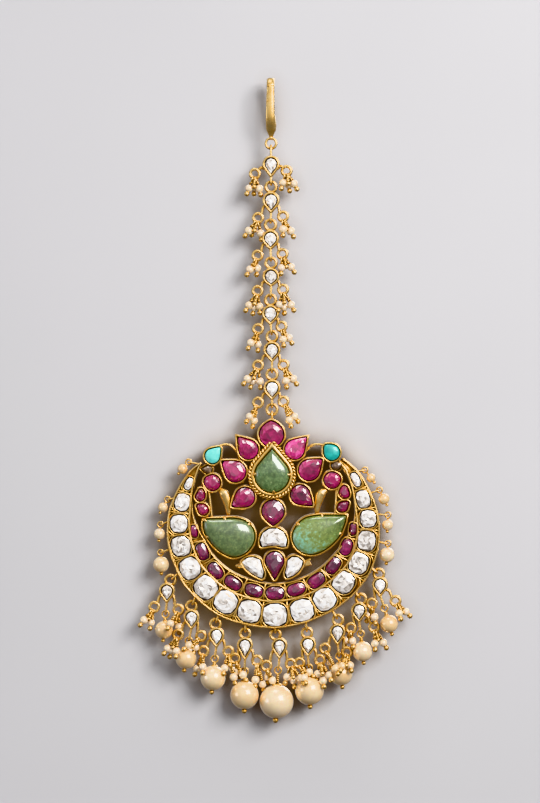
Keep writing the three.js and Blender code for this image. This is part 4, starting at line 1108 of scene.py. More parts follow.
@dataclass(frozen=True)
class Drops:
    """The nine drops along the crescent's lower edge."""

    radius: float = 1.56        # round end of a setting
    pin_ring: float = 0.68      # wire-centre radius of a large pearl's loop
    pin_wire: float = 0.17      # radius of that loop's wire
    stone_seed: int = 60
    bunch_seed: int = 300

    def build(self) -> None:
        """Makes each drop's metal, stone, seed pearls and large pearl."""
        large = tuple((*row.pearl, row.radius) for row in DROPS)
        for i, row in enumerate(DROPS):
            metal = Piece(f"drop_link_{i + 1}_metal")
            stones = Piece(f"drop_link_{i + 1}_stone")
            seeds = Piece(f"drop_link_{i + 1}_pearls")
            middle = np.array(row.setting)
            setting = LinkSetting(row.setting, self.radius, middle[1] - row.tip)
            setting.build(metal, stones, self.stone_seed + i)
            metal.hoop(upright(row.ring), RING, WIRE, steps=32)
            loop = np.array([middle[0] + (row.pearl[0] - middle[0]) * 0.5, row.tip - 2.15])
            add_eye(metal, np.array([middle[0], row.tip + 0.45]), loop, self.pin_ring)
            for j, bunch in enumerate(b for b in DROP_BUNCHES if b.owner == i):
                add_bunch(metal, seeds, bunch, middle, self.bunch_seed + 10 * i + j, large)
            node = f"drop_link_{i + 1}"
            metal.finished("pendant", "gold", node)
            stones.finished("pendant", "uncut_diamond", node)
            seeds.finished("pendant", "pearl", node)
            self.large_pearl(i, row, loop)

    def large_pearl(self, i: int, row: DropRow, loop: np.ndarray) -> None:
        """Makes a drop's large pearl on its looped headpin.

        Args:
            i: the drop's place from the left.
            row: its sizes.
            loop: middle of the headpin's loop, [x, z].
        """
        pearl = Piece(f"drop_pearl_{i + 1}_nacre")
        pin = Piece(f"drop_pearl_{i + 1}_pin")
        hung = upright(row.pearl)
        start = upright(loop)
        along = unit(hung - start)
        pearl.ball(hung, row.radius, Finish.PEARL, steps=48, tone=0.35 + 0.07 * (i % 4))
        pin.hoop(start, self.pin_ring, self.pin_wire, steps=24, sides=8)
        neck = start + along * self.pin_ring
        top = hung - along * row.radius * 0.97
        front = np.array([0.0, 1.0, 0.0])
        pin.coil(neck, (top - neck) * 0.75, np.cross(along, front), front, 4, 48, 0.24, 0.13)
        pin.tube(np.linspace(neck, top, 3), 0.16, sides=8)
        cap = row.radius * 0.32
        pin.ball(hung - along * row.radius * 0.93, cap, Finish.GOLD, steps=18, squash=(1, 1, 0.5))
        foot = hung + along * (row.radius + 0.32)
        pin.ball(foot, 0.24 + row.radius * 0.1, Finish.GOLD, steps=16)
        pearl.finished("pendant", "pearl", f"drop_pearl_{i + 1}")
        pin.finished("pendant", "gold", f"drop_pearl_{i + 1}")


@dataclass(frozen=True)
class SideRow:
    """A pearl at the crescent's side: place in the rim, headpin loop and pearl."""

    name: str
    rim: tuple[float, float]
    loop: tuple[float, float]
    pearl: tuple[float, float]
    radius: float


SIDE_PEARLS = (
    SideRow("left_1", (-14.2, -76.9), (-16.7, -76.4), (-17.9, -77.8), 1.0),
    SideRow("left_2", (-19.2, -83.6), (-20.9, -83.9), (-21.8, -85.5), 1.0),
    SideRow("left_3", (-20.4, -88.2), (-22.3, -88.9), (-22.5, -90.8), 1.15),
    SideRow("left_4", (-20.2, -93.8), (-22.3, -94.5), (-22.2, -96.9), 1.6),
    SideRow("right_1", (16.6, -78.4), (18.6, -78.0), (19.8, -79.6), 0.9),
    SideRow("right_2", (19.2, -82.8), (21.5, -82.0), (22.4, -83.8), 1.1),
    SideRow("right_3", (20.7, -86.8), (23.2, -87.0), (23.1, -89.0), 1.1),
    SideRow("right_4", (20.8, -92.3), (23.2, -92.7), (23.0, -95.0), 1.5),
)


@dataclass(frozen=True)
class SidePearls:
    """The single pearls down both sides of the crescent."""

    loop_radius: float = 0.56
    loop_wire: float = 0.16
    pin_wire: float = 0.17

    def build(self) -> None:
        """Makes each pearl and its pin."""
        for i, row in enumerate(SIDE_PEARLS):
            pearl = Piece(f"side_pearl_{row.name}_nacre")
            pin = Piece(f"side_pearl_{row.name}_pin")
            hung, start = upright(row.pearl), upright(row.loop)
            along = unit(hung - start)
            pearl.ball(hung, row.radius, Finish.PEARL, steps=32, tone=0.3 + 0.1 * (i % 4))
            pin.hoop(start, self.loop_radius, self.loop_wire, steps=20, sides=8)
            pin.tube(np.linspace(start + along * self.loop_radius, hung, 3), self.pin_wire, sides=8)
            pin.ball(hung + along * (row.radius + 0.22), 0.2 + row.radius * 0.12, Finish.GOLD, steps=14)
            pearl.finished("pendant", "pearl", f"side_pearl_{row.name}")
            pin.finished("pendant", "gold", f"side_pearl_{row.name}")


class Edge(Enum):
    """The three rims that the crescent follows."""

    OUTER = "outer"
    MIDDLE = "middle"
    INNER = "inner"


# Places [x, z] along each rim, from its left tip round the bottom to its right tip.
OUTER_EDGE = (
    (-14.3, -76.4), (-16.4, -78.1), (-18.8, -81.6), (-20.6, -86.0), (-21.0, -90.0), (-20.6, -94.0),
    (-18.2, -100.0), (-15.2, -103.6), (-10.8, -107.0), (-5.4, -108.9), (0.4, -109.6), (5.6, -108.8),
    (10.2, -107.1), (13.6, -105.2), (17.2, -102.0), (19.8, -98.2), (21.4, -93.2), (21.5, -88.4),
    (20.6, -84.4), (18.9, -80.7), (17.2, -78.1), (14.2, -75.5),
)
MIDDLE_EDGE = (
    (-14.6, -77.2), (-15.8, -81.0), (-16.3, -85.0), (-16.5, -89.4), (-15.8, -93.2), (-14.0, -97.2),
    (-10.2, -101.0), (-5.4, -103.3), (0.4, -104.2), (6.0, -103.2), (10.9, -100.7), (14.9, -96.9),
    (16.6, -93.2), (17.1, -89.4), (16.6, -85.2), (16.0, -81.6), (14.8, -78.0),
)
INNER_EDGE = (
    (-13.9, -76.8), (-15.2, -79.8), (-15.8, -84.0), (-15.6, -87.0), (-14.8, -89.4), (-13.2, -92.2),
    (-11.4, -95.2), (-8.4, -97.9), (-4.4, -99.7), (0.6, -100.6), (5.6, -99.6), (9.6, -97.4),
    (12.6, -94.5), (14.8, -91.6), (16.2, -88.6), (16.5, -86.2), (16.1, -83.0), (15.3, -80.0),
    (13.8, -77.3),
)


@dataclass(frozen=True)
class RowStone:
    """A stone of the crescent: its middle, and its width across and along the row."""

    x: float
    z: float
    across: float
    along: float


OUTER_STONES = (
    RowStone(-16.6, -80.7, 1.4, 2.5), RowStone(-17.9, -84.4, 2.9, 3.5), RowStone(-18.6, -88.7, 3.3, 3.5),
    RowStone(-18.2, -93.2, 3.7, 4.0), RowStone(-16.4, -97.6, 4.0, 4.2), RowStone(-13.2, -101.4, 4.4, 4.5),
    RowStone(-9.2, -104.3, 4.3, 4.5), RowStone(-4.5, -106.2, 4.3, 4.5), RowStone(0.6, -106.9, 4.4, 4.8),
    RowStone(6.0, -106.0, 4.3, 4.6), RowStone(10.5, -103.8, 4.2, 4.3), RowStone(14.3, -100.4, 4.1, 4.3),
    RowStone(17.3, -96.6, 3.8, 4.1), RowStone(18.9, -92.1, 3.5, 3.9), RowStone(19.2, -87.7, 3.1, 3.4),
    RowStone(18.2, -83.8, 2.6, 3.6), RowStone(16.7, -79.9, 1.5, 2.9),
)
INNER_STONES = (
    RowStone(-15.5, -90.2, 1.5, 2.3), RowStone(-13.8, -94.2, 2.4, 3.3), RowStone(-11.2, -98.0, 2.5, 3.4),
    RowStone(-7.7, -100.4, 2.6, 3.4), RowStone(-3.6, -101.9, 2.6, 3.5), RowStone(0.6, -102.4, 2.8, 3.5),
    RowStone(4.8, -101.7, 2.6, 3.5), RowStone(8.8, -99.9, 2.6, 3.5), RowStone(12.1, -97.0, 2.5, 3.4),
    RowStone(14.7, -93.3, 2.4, 3.3), RowStone(16.1, -89.8, 1.5, 2.3),
)


@dataclass(frozen=True)
class Setting:
    """A stone that is a piece of its own, with the bezel that holds it."""

    node: str
    finish: Finish
    slot: str
    cut: Cut = Cut.FLAT
    rim: float = BEZEL
    rise: float = 0.6
    wall: float = 0.5


PETALS = ("top", "upper_left", "upper_right", "left", "right", "lower_left", "lower_right", "bottom")
SETTINGS = (
    Setting("flower_stone", Finish.HEART, "green_stone", Cut.DOME, HEART, 1.25, 0.8),
    *(Setting(f"petal_stone_{name}", Finish.PINK if name == "upper_right" else Finish.RUBY, "ruby",
              rim=PETAL) for name in PETALS),
    Setting("turquoise_left", Finish.SKY, "turquoise", Cut.DOME, rise=0.5),
    Setting("turquoise_right", Finish.SEA, "turquoise", Cut.DOME, rise=0.5),
    *(Setting(f"neck_stone_{side}_{i}", Finish.RUBY, "ruby")
      for side in ("left", "right") for i in (1, 2, 3)),
    Setting("lotus_stone_middle", Finish.DEEP, "ruby"),
    Setting("lotus_stone_moon", Finish.DIAMOND, "uncut_diamond", Cut.UNCUT),
    Setting("lotus_stone_left", Finish.DIAMOND, "uncut_diamond", Cut.UNCUT),
    Setting("lotus_stone_right", Finish.DIAMOND, "uncut_diamond", Cut.UNCUT),
    Setting("body_stone_left", Finish.MOSS, "green_stone", Cut.DOME, rise=1.55),
    Setting("body_stone_right", Finish.OLIVE, "green_stone", Cut.DOME, rise=1.55),
)
# Claws, feathers and lotus tips, as pixels read off the photograph.
CLAWS = (
    ("flower_stone", ((255, 474), (289.5, 475), (273, 493))),
    ("body_stone_left", ((226, 518), (250, 524), (204, 519), (205, 537))),
    ("body_stone_right", ((322, 515), (297, 524), (343, 534))),
)
FEATHERS = (
    ((219.0, 489.6), (223.4, 492.6), (226.6, 499.6), (228.2, 507.6), (228.6, 514.6)),
    ((326.8, 490.2), (322.0, 492.8), (318.8, 499.6), (317.2, 507.4), (317.0, 514.2)),
)
LOTUS_TIPS = (
    ((236.7, 567.5), (244.0, 557.6), (246.6, 563.0), (245.8, 567.6)),
    ((311.8, 564.9), (308.8, 558.6), (304.6, 561.6), (304.4, 566.0)),
)
# Plain strips between the settings: places [x, z], and half of the width.
STRIPS = (
    (((-11.2, -73.3), (-8.8, -72.9), (-7.0, -74.3), (-6.3, -76.4)), 0.22),
    (((10.6, -73.0), (8.4, -72.9), (6.8, -74.1), (5.8, -76.0)), 0.22),
    (((-12.7, -81.6), (-12.3, -84.6), (-12.0, -87.6)), 0.2),
    (((12.9, -81.4), (12.8, -84.0), (12.6, -87.0)), 0.2),
    (((-14.9, -96.0), (-15.4, -94.6), (-15.9, -93.2)), 0.18),
    (((7.7, -95.7), (7.0, -96.0), (6.2, -96.4)), 0.22),
    (((-7.2, -97.2), (-6.6, -97.0), (-6.0, -96.9)), 0.22),
)
# x, z, radius of the round end, length to the tip and its direction in degrees.
SMOKY_STONES = ((-12.8, -77.9, 0.8, 1.3, 175), (12.8, -77.1, 0.9, 1.4, 10))


def node_outline(name: str) -> np.ndarray:
    """The outline of a stone's node, from the corners of its flat underside.

    Args:
        name: the node in the frame.

    Returns:
        The corners, anticlockwise.
    """
    points = np.array([v.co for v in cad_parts[name].data.vertices]) / MM
    under = points[points[:, 1] > points[:, 1].max() - 0.05][:, [0, 2]]
    corners = np.unique(np.round(under, 2), axis=0)
    middle = (corners.min(axis=0) + corners.max(axis=0)) / 2
    angle = np.arctan2(corners[:, 1] - middle[1], corners[:, 0] - middle[0])
    return corners[np.argsort(angle)]


@dataclass
class Crescent:
    """The crescent's plate and rims, worked out as distances from its hub."""

    rim_width: float = 0.42     # of the outer and inner rims
    ridge: float = 0.2          # radius of a partition's wire
    vein: float = 0.15          # radius of a chased leaf's edge
    leaf: float = 1.35          # half of a leaf's width at the outer rim
    lines: dict[Edge, tuple[np.ndarray, np.ndarray]] = field(init=False)

    def __post_init__(self) -> None:
        """Works out the three lines that the crescent follows."""
        edges = zip(Edge, (OUTER_EDGE, MIDDLE_EDGE, INNER_EDGE))
        self.lines = {edge: self.polar(places) for edge, places in edges}

    @staticmethod
    def polar(edge: tuple) -> tuple[np.ndarray, np.ndarray]:
        """A line's angles round the hub, rising, and its distances from it.

        Args:
            edge: places along the rim.

        Returns:
            The angles, and the distance at each.
        """
        line = curve_through(np.array(edge), 300) - HUB
        angle = np.unwrap(np.arctan2(line[:, 1], line[:, 0]))
        angle -= 2 * math.pi * round((angle[150] + math.pi / 2) / (2 * math.pi))
        order = np.argsort(angle)
        return angle[order], np.hypot(line[:, 0], line[:, 1])[order]

    def distance(self, edge: Edge, angle: np.ndarray | float) -> np.ndarray:
        """How far a line lies from the hub at an angle."""
        return np.interp(angle, *self.lines[edge])

    def point(self, angle: float, radius: float, y: float) -> np.ndarray:
        """The point at an angle and a distance from the hub."""
        return upright(HUB + radius * np.array([math.cos(angle), math.sin(angle)]), y)

    def plate(self, metal: Piece) -> None:
        """Adds the plate with its three raised rims.

        Args:
            metal: the frame's gold.
        """
        ends = self.lines[Edge.OUTER][0]
        angles = np.linspace(ends[0], ends[-1], 260)
        rows = []
        for angle in angles:
            outer, middle, inner = (float(self.distance(edge, angle)) for edge in Edge)
            section = [
                (outer - 0.15, BACK), (outer, BACK - 0.15), (outer, RIM + 0.2), (outer - 0.1, RIM + 0.03),
                (outer - 0.22, RIM), (outer - 0.34, RIM + 0.04), (outer - self.rim_width, PLATE),
                (middle + 0.3, PLATE), (middle + 0.24, RIM + 0.12), (middle + 0.1, RIM), (middle - 0.1, RIM),
                (middle - 0.24, RIM + 0.12), (middle - 0.3, PLATE), (inner + self.rim_width, PLATE),
                (inner + 0.34, RIM + 0.08), (inner + 0.22, RIM), (inner + 0.1, RIM + 0.03),
                (inner, RIM + 0.2), (inner, BACK - 0.15), (inner + 0.15, BACK),
            ]
            radii = np.array([radius for radius, _ in section])
            radii[1:-1] = np.minimum.accumulate(np.maximum(radii[1:-1], inner))
            rows.append([self.point(angle, radius, y) for radius, (_, y) in zip(radii, section)])
        metal.grid(np.array(rows), Finish.GOLD, caps=True)

    def outline(self, stone: RowStone, half_moon: bool, seed: int) -> np.ndarray:
        """A stone's outline, a rounded square turned to face the hub, a little uneven.

        Args:
            stone: its place and size.
            half_moon: whether its inner side is flatter.
            seed: sets its unevenness.

        Returns:
            The smooth outline.
        """
        luck = random.Random(seed)
        out = unit(np.array([stone.x, stone.z]) - HUB)
        across = np.array([-out[1], out[0]])
        points = []
        for i in range(14):
            angle = 2 * math.pi * (i + 0.5) / 14
            u, v = (math.copysign(abs(s) ** 0.72, s) for s in (math.cos(angle), math.sin(angle)))
            wobble = 1 + luck.uniform(-0.035, 0.035)
            if half_moon and u < 0:
                u *= 0.75
            points.append([stone.x, stone.z] + out * u * stone.across / 2 * wobble
                          + across * v * stone.along / 2 * wobble)
        return rounded(np.array(points), 36)

    def row(self, metal: Piece, stones: Piece, table: tuple[RowStone, ...], finish: Finish,
            edges: tuple[Edge, Edge], seed: int) -> None:
        """Adds a row of set stones with the partitions between them.

        Args:
            metal: the piece that gets the collars and partitions.
            stones: the piece that gets the stones.
            table: the stones.
            finish: what they are.
            edges: the rims inside and outside the row.
            seed: sets their unevenness.
        """
        uncut = finish is Finish.DIAMOND
        angles = []
        for i, stone in enumerate(table):
            outline = self.outline(stone, not uncut, seed + i)
            add_stone(stones, outline, Cut.UNCUT if uncut else Cut.FLAT, finish, RIM + 0.12, 0.42, seed + i,
                      base=PLATE + 0.1)
            metal.floor(grown(outline, 0.24), PLATE - 0.06, Finish.SEAT)
            metal.skirt(outline, [(0.19, PLATE + 0.1), (0.19, RIM + 0.1), (0.24, RIM), (0.32, RIM - 0.02),
                                  (0.41, RIM + 0.1), (0.46, PLATE + 0.1)])
            angle = math.atan2(stone.z - HUB[1], stone.x - HUB[0])
            angles.append(angle - 2 * math.pi if angle > math.pi / 2 else angle)
        for before, after in zip(angles, angles[1:]):
            self.partition(metal, (before + after) / 2, edges, uncut)

    def partition(self, metal: Piece, angle: float, edges: tuple[Edge, Edge], leaf: bool) -> None:
        """Adds the ridge between two stones and, in the outer row, the chased leaf at its end.

        Args:
            metal: the piece that gets them.
            angle: the ridge's angle round the hub.
            edges: the rims inside and outside the row.
            leaf: whether it ends in a leaf.
        """
        low, high = (float(self.distance(edge, angle)) for edge in edges)
        ridge = [self.point(angle, low, PLATE - 0.22), self.point(angle, high - 0.2, PLATE - 0.22)]
        metal.tube(np.linspace(*ridge, 6), self.ridge, sides=8, flat=1.3)
        if not leaf:
            return
        spread = self.leaf / high
        root = high - 1.5
        for side in (-1, 1):
            knots = [self.point(angle, root, PLATE - 0.18),
                     self.point(angle + side * spread * 0.45, high - 0.75, PLATE - 0.22),
                     self.point(angle + side * spread, high - 0.25, PLATE - 0.2)]
            metal.tube(curve_through(knots, 10), self.vein, sides=8)
        for side in (-0.5, 0.5):
            metal.ball(self.point(angle + side * spread * 0.55, high - 0.42, PLATE - 0.12), 0.2, Finish.GOLD,
                       steps=10)


@dataclass(frozen=True)
class Pendant:
    """The pierced frame with its crescent, peacocks, flower and lotus, and the stones in it."""

    eye: tuple[float, float] = (0.0, -68.4)     # foot of the eye on the flower's top, [x, z]
    rope_turns: int = 22                        # twists of the rope round the flower's middle stone
    strand: float = 0.24                        # radius of each of its two strands
    core: float = 0.3                           # radius of the wire behind them
    outer_seed: int = 500
    inner_seed: int = 600
    stone_seed: int = 700
    smoky_seed: int = 800

    def build(self) -> None:
        """Makes the frame's metal, its rows of stones and each stone of its own."""
        metal = Piece("pendant_frame_metal")
        crescent = Crescent()
        crescent.plate(metal)
        diamonds, rubies = Piece("crescent_diamonds"), Piece("crescent_rubies")
        crescent.row(metal, diamonds, OUTER_STONES, Finish.DIAMOND, (Edge.MIDDLE, Edge.OUTER),
                     self.outer_seed)
        crescent.row(metal, rubies, INNER_STONES, Finish.DEEP, (Edge.INNER, Edge.MIDDLE), self.inner_seed)
        outlines = {}
        for i, setting in enumerate(SETTINGS):
            outlines[setting.node] = self.stone(metal, setting, self.stone_seed + i)
        self.heart(metal, outlines["flower_stone"])
        self.claws(metal, outlines)
        for details in (self.feathers, self.lotus_tips, self.strips, self.smoky_stones, self.eyes):
            details(metal)
        metal.finished("pendant", "gold", "pendant_frame")
        diamonds.finished("pendant", "uncut_diamond", "pendant_frame")
        rubies.finished("pendant", "ruby", "pendant_frame")

    def stone(self, metal: Piece, setting: Setting, seed: int) -> np.ndarray:
        """Makes one stone of its own and adds its bezel to the frame.

        Args:
            metal: the frame's gold.
            setting: the stone and how it is set.
            seed: sets its unevenness.

        Returns:
            The stone's outline.
        """
        outline = rounded(blunted(node_outline(setting.node), 0.32), 56, sharp=75.0)
        piece = Piece(f"{setting.node}_gem")
        add_stone(piece, outline, setting.cut, setting.finish, setting.rim, setting.rise, seed)
        piece.finished("pendant", setting.slot, setting.node)
        add_bezel(metal, outline, setting.rim, setting.wall)
        return outline

    def heart(self, metal: Piece, outline: np.ndarray) -> None:
        """Adds the twisted rope round the flower's middle stone, on its own ledge.

        Args:
            metal: the frame's gold.
            outline: the stone's outline.
        """
        metal.skirt(outline, [(0.5, SEAT), (0.6, HEART + 0.5), (1.25, HEART + 0.55), (1.36, HEART + 0.7),
                              (1.36, BACK - 0.1), (1.2, BACK), (0.5, BACK)])
        line = lifted(grown(outline, 1.06), HEART + 0.42)
        line = spaced(np.vstack([line, line[0]]), 560, closed=True)
        along = np.roll(line, -1, axis=0) - np.roll(line, 1, axis=0)
        along /= np.linalg.norm(along, axis=1, keepdims=True)
        out = np.cross(along, [0.0, 1.0, 0.0])
        for phase in (0.0, math.pi):
            angle = np.linspace(0, 2 * math.pi * self.rope_turns, len(line), endpoint=False)[:, None] + phase
            strand = line + (out * np.cos(angle) + np.array([0.0, 1.0, 0.0]) * np.sin(angle)) * 0.2
            metal.tube(strand, self.strand, sides=6, closed=True)
        core = spaced(np.vstack([line, line[0]]), 120, closed=True)
        metal.tube(core + [0, self.core, 0], self.core, sides=6, closed=True)

    def claws(self, metal: Piece, outlines: dict[str, np.ndarray]) -> None:
        """Adds the claws that hold the three green stones.

        Args:
            metal: the frame's gold.
            outlines: each stone's outline by its node.
        """
        rims = {setting.node: setting.rim for setting in SETTINGS}
        for name, places in CLAWS:
            outline = outlines[name]
            middle = outline.mean(axis=0)
            for place in places:
                wanted = at(*place)
                edge = outline[np.argmin(np.linalg.norm(outline - wanted, axis=1))]
                add_claw(metal, edge, unit(middle - edge), rims[name])

    def feathers(self, metal: Piece) -> None:
        """Adds the plain gold feather behind each peacock's neck.

        Args:
            metal: the frame's gold.
        """
        for places in FEATHERS:
            line = curve_through(np.array([upright(at(*place), BEZEL + 0.55) for place in places]), 30)
            width = np.interp(np.linspace(0, 1, 30), [0, 0.2, 0.5, 0.8, 1], [0.35, 0.95, 0.85, 0.55, 0.3])
            metal.tube(line, width, sides=16, flat=0.6)
            metal.tube(line + [0, 1.6, 0], width * 0.85, sides=12, flat=1.6)

    def lotus_tips(self, metal: Piece) -> None:
        """Adds the flat gold points at both sides of the lotus.

        Args:
            metal: the frame's gold.
        """
        for corners in LOTUS_TIPS:
            outline = anticlockwise(np.array([at(*corner) for corner in corners]))
            rings = [lifted(grown(outline, out), y)
                     for out, y in ((0.0, BACK), (0.0, BEZEL + 0.15), (-0.15, BEZEL))]
            metal.grid(np.stack(rings), Finish.GOLD, caps=True, smooth=False)

    def strips(self, metal: Piece) -> None:
        """Adds the narrow gold strips that join the settings.

        Args:
            metal: the frame's gold.
        """
        for points, half in STRIPS:
            line = curve_through(np.array([upright(p) for p in points]), 24)
            for y in (BEZEL + 0.35, 0.2, BACK - 0.3):
                metal.tube(line + [0, y, 0], half, sides=8)
            walls = np.stack([line + [0, BEZEL + 0.35, 0], line + [0, BACK - 0.3, 0]])
            across = np.cross(np.gradient(line, axis=0), [0.0, 1.0, 0.0])
            across /= np.linalg.norm(across, axis=1, keepdims=True)
            sides = [walls[0] + across * half * 0.8, walls[1] + across * half * 0.8,
                     walls[1] - across * half * 0.8, walls[0] - across * half * 0.8]
            metal.grid(np.stack(sides, axis=1), Finish.GOLD, caps=True)

    def smoky_stones(self, metal: Piece) -> None:
        """Makes the two small smoky stones and adds their bezels.

        Args:
            metal: the frame's gold.
        """
        smoke = Piece("smoky_stones")
        for i, (x, z, radius, tip, degrees) in enumerate(SMOKY_STONES):
            outline = drop_outline(x, z, radius, tip, degrees)
            add_stone(smoke, outline, Cut.FLAT, Finish.SMOKE, BEZEL + 0.25, 0.35, self.smoky_seed + i)
            add_bezel(metal, outline, BEZEL + 0.2, 0.4)
        smoke.finished("pendant", "gold", "pendant_frame")

    def eyes(self, metal: Piece) -> None:
        """Adds the eyes that the pendant, the drops and the side pearls hang in.

        Args:
            metal: the frame's gold.
        """
        add_eye(metal, self.eye, PENDANT_RING, LINK_RING)
        for row in DROPS:
            add_eye(metal, row.rim, row.ring, RING)
        for row in SIDE_PEARLS:
            add_eye(metal, row.rim, row.loop, SidePearls.loop_radius, wire=0.18)


@dataclass(frozen=True)
class Lamp:
    """A square soft lamp: its place from where it aims and its size in millimetres, and its power."""

    name: str
    place: tuple[float, float, float]
    size: float
    power: float
    colour: str = "#FFFFFF"


LAMPS = (
    Lamp("key", (420, -480, 260), 380, 0.8, "#FFF8F0"),
    Lamp("spark", (330, -520, 300), 330, 6.0),
    Lamp("front", (-160, -700, 260), 560, 0.45),
    Lamp("top", (-60, -120, 620), 240, 1.0),
    Lamp("side", (-620, -260, 40), 200, 0.4, "#EEF3FF"),
    Lamp("back", (260, 520, 300), 300, 1.6),
)


@dataclass(frozen=True)
class Studio:
    """Pale card right behind the jewel, soft lamps and the camera in front of it."""

    middle: tuple[float, float] = (-0.4, -64.3)     # X and Z at the middle of the photograph
    fold: float = -66.94                            # height of the joint, where the card is folded
    card_y: float = 3.9                             # how far behind the jewel's plane the card lies
    half: float = 150.0                             # half of the card's width
    reach: float = 190.0                            # from the fold to the card's upper or lower edge
    painted_shadow_reach: float = 4.2                             # how far the painted brown shadow reaches out from the jewel on the card
    camera_distance: float = 600.0
    aim: float = -85.0                              # height that the lamps are turned to
    daylight: float = 0.72                          # strength of the light from all round
    sensor: float = 36.0                            # width of the camera's sensor

    def build(self) -> None:
        """Makes the card, the lamps, the air and the camera."""
        self.card_material()
        self.card("card_behind_chain", self.fold + self.reach, None)
        self.card("card_behind_pendant", self.fold - self.reach, "pendant")
        self.lamps()
        self.air()
        self.camera()

    def card_material(self) -> None:
        """Makes matt pale card that is seen from its front only, fades out towards its edges and has painted
        brown shadow where the jewel is near.
        """
        _, tree, shader = blank("matt_card", Roughness=0.95)
        shader.inputs["Specular IOR Level"].default_value = 0.1
        place = add(tree, "ShaderNodeTexCoord").outputs["Object"]
        cloud = add(tree, "ShaderNodeTexNoise", {"Vector": place, "Scale": per_mm(90.0)})
        paper = add(tree, "ShaderNodeValToRGB", {0: cloud.outputs[0]},
                    stops=[(0.3, "#B1B0B2"), (0.7, "#B5B4B6")])
        # painted shadow: the card turns dark brown where the jewel shuts out the air
        open_air = add(tree, "ShaderNodeAmbientOcclusion", {"Distance": self.painted_shadow_reach * MM}, samples=12)
        painted_shadow_colour = add(tree, "ShaderNodeValToRGB", {0: open_air.outputs["AO"]},
                     stops=[(0.0, "#3B2712"), (0.45, "#8E7C69"), (0.8, "#F1EEEC"), (1.0, "#FFFFFF")])
        colour = add(tree, "ShaderNodeMix", {0: 1.0, 6: paper.outputs[0], 7: painted_shadow_colour.outputs[0]},
                     data_type="RGBA", blend_type="MULTIPLY")
        tree.links.new(colour.outputs[2], shader.inputs["Base Color"])
        apart = add(tree, "ShaderNodeSeparateXYZ", {0: place})
        shares = []
        for axis, middle, size in (("X", 0.0, self.half), ("Z", self.fold, self.reach)):
            away = add(tree, "ShaderNodeMath", {0: apart.outputs[axis], 1: middle * MM}, operation="SUBTRACT")
            share = add(tree, "ShaderNodeMath", {0: away.outputs[0], 1: size * MM}, operation="DIVIDE")
            shares.append(add(tree, "ShaderNodeMath", {0: share.outputs[0]}, operation="ABSOLUTE").outputs[0])
        far = add(tree, "ShaderNodeMath", dict(enumerate(shares)), operation="MAXIMUM")
        inside = add(tree, "ShaderNodeMapRange", {0: far.outputs[0], 1: 0.6, 2: 1.0, 3: 1.0, 4: 0.0},
                     interpolation_type="SMOOTHSTEP")
        behind = add(tree, "ShaderNodeNewGeometry").outputs["Backfacing"]
        shown = add(tree, "ShaderNodeMath", {0: 1.0, 1: behind}, operation="SUBTRACT")
        share = add(tree, "ShaderNodeMath", {0: inside.outputs[0], 1: shown.outputs[0]}, operation="MULTIPLY")
        clear = add(tree, "ShaderNodeBsdfTransparent")
        mixed = add(tree, "ShaderNodeMixShader",
                    {0: share.outputs[0], 1: clear.outputs[0], 2: shader.outputs[0]})
        tree.links.new(mixed.outputs[0], tree.nodes["Material Output"].inputs["Surface"])

    def card(self, name: str, edge: float, body: str | None) -> None:
        """Makes one half of the card, which takes the jewel's shadow and isn't part of it.

        Args:
            name: the object's name.
            edge: height of the edge away from the fold.
            body: the moving body that it stays behind, or None.
        """
        corners = [(-self.half, self.card_y, self.fold), (self.half, self.card_y, self.fold),
                   (self.half, self.card_y, edge), (-self.half, self.card_y, edge)]
        if edge < self.fold:
            corners.reverse()
        mesh = bpy.data.meshes.new(name)
        mesh.from_pydata([tuple(c * MM for c in corner) for corner in corners], [], [(0, 1, 2, 3)])
        mesh.materials.append(bpy.data.materials["matt_card"])
        made = bpy.data.objects.new(name, mesh)
        bpy.context.scene.collection.objects.link(made)
        made.visible_diffuse = False
        made.visible_glossy = False
        made.visible_transmission = False
        made.visible_shadow = False
        if body:
            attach(made, body)

    def lamps(self) -> None:
        """Makes the lamps, all turned towards the middle of the jewel."""
        aim = Vector((0.0, 0.0, self.aim * MM))
        for lamp in LAMPS:
            light = bpy.data.lights.new(lamp.name, "AREA")
            light.size = lamp.size * MM
            light.energy = lamp.power
            light.color = srgb(lamp.colour)[:3]
            made = bpy.data.objects.new(lamp.name, light)
            made.location = Vector(lamp.place) * MM + aim
            made.rotation_mode = "QUATERNION"
            made.rotation_quaternion = (aim - made.location).to_track_quat("-Z", "Y")
            made.visible_camera = False
            bpy.context.scene.collection.objects.link(made)

    def air(self) -> None:
        """Makes the light that comes from all round, paler above than below."""
        world = bpy.data.worlds.new("air")
        world.use_nodes = True
        tree = world.node_tree
        ground = tree.nodes["Background"]
        place = add(tree, "ShaderNodeTexCoord").outputs["Generated"]
        height = add(tree, "ShaderNodeSeparateXYZ", {0: place}).outputs["Z"]
        share = add(tree, "ShaderNodeMapRange", {0: height, 1: -1.0, 2: 1.0})
        colour = add(tree, "ShaderNodeValToRGB", {0: share.outputs[0]},
                     stops=[(0.0, "#5E5855"), (0.3, "#B5B1B2"), (0.55, "#CFCDCF"), (1.0, "#F2F2F4")])
        tree.links.new(colour.outputs[0], ground.inputs["Color"])
        ground.inputs["Strength"].default_value = self.daylight
        bpy.context.scene.world = world

    def camera(self) -> None:
        """Makes the camera, square to the jewel and framed as the photograph is."""
        lens = bpy.data.cameras.new("camera")
        lens.sensor_width = self.sensor
        lens.lens = lens.sensor_width * self.camera_distance / (PHOTO_SIZE[1] * PHOTO_SCALE)
        lens.clip_start = 0.01
        lens.clip_end = 10.0
        made = bpy.data.objects.new("camera", lens)
        made.location = Vector((self.middle[0], -self.camera_distance, self.middle[1])) * MM
        made.rotation_euler = (math.pi / 2, 0.0, 0.0)
        bpy.context.scene.collection.objects.link(made)
        bpy.context.scene.camera = made


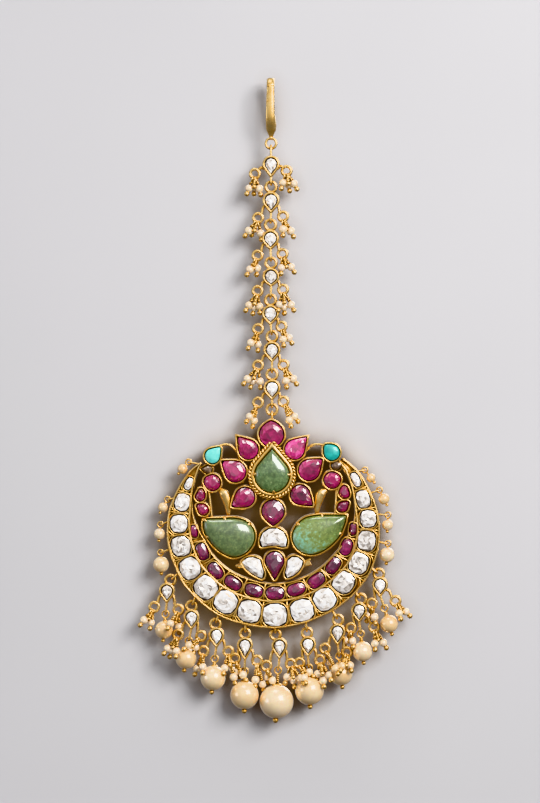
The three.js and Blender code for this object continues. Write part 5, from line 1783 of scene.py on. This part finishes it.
def main() -> None:
    """Builds the materials, the studio and each part of the jewel in order."""
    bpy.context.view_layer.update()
    AntiqueGold().make()
    LacAndShadeSeat().make()
    CulturedPearl().make()
    for finish in STONE_FINISHES:
        finish.make()
    Studio().build()
    for part in (Hook(), Chain(), Pendant(), SidePearls(), Drops()):
        part.build()
        log.info("%s is built", type(part).__name__)
    bpy.context.scene.view_settings.view_transform = "Khronos PBR Neutral"


if __name__ == "__main__":
    logging.basicConfig(level=logging.INFO)
    main()
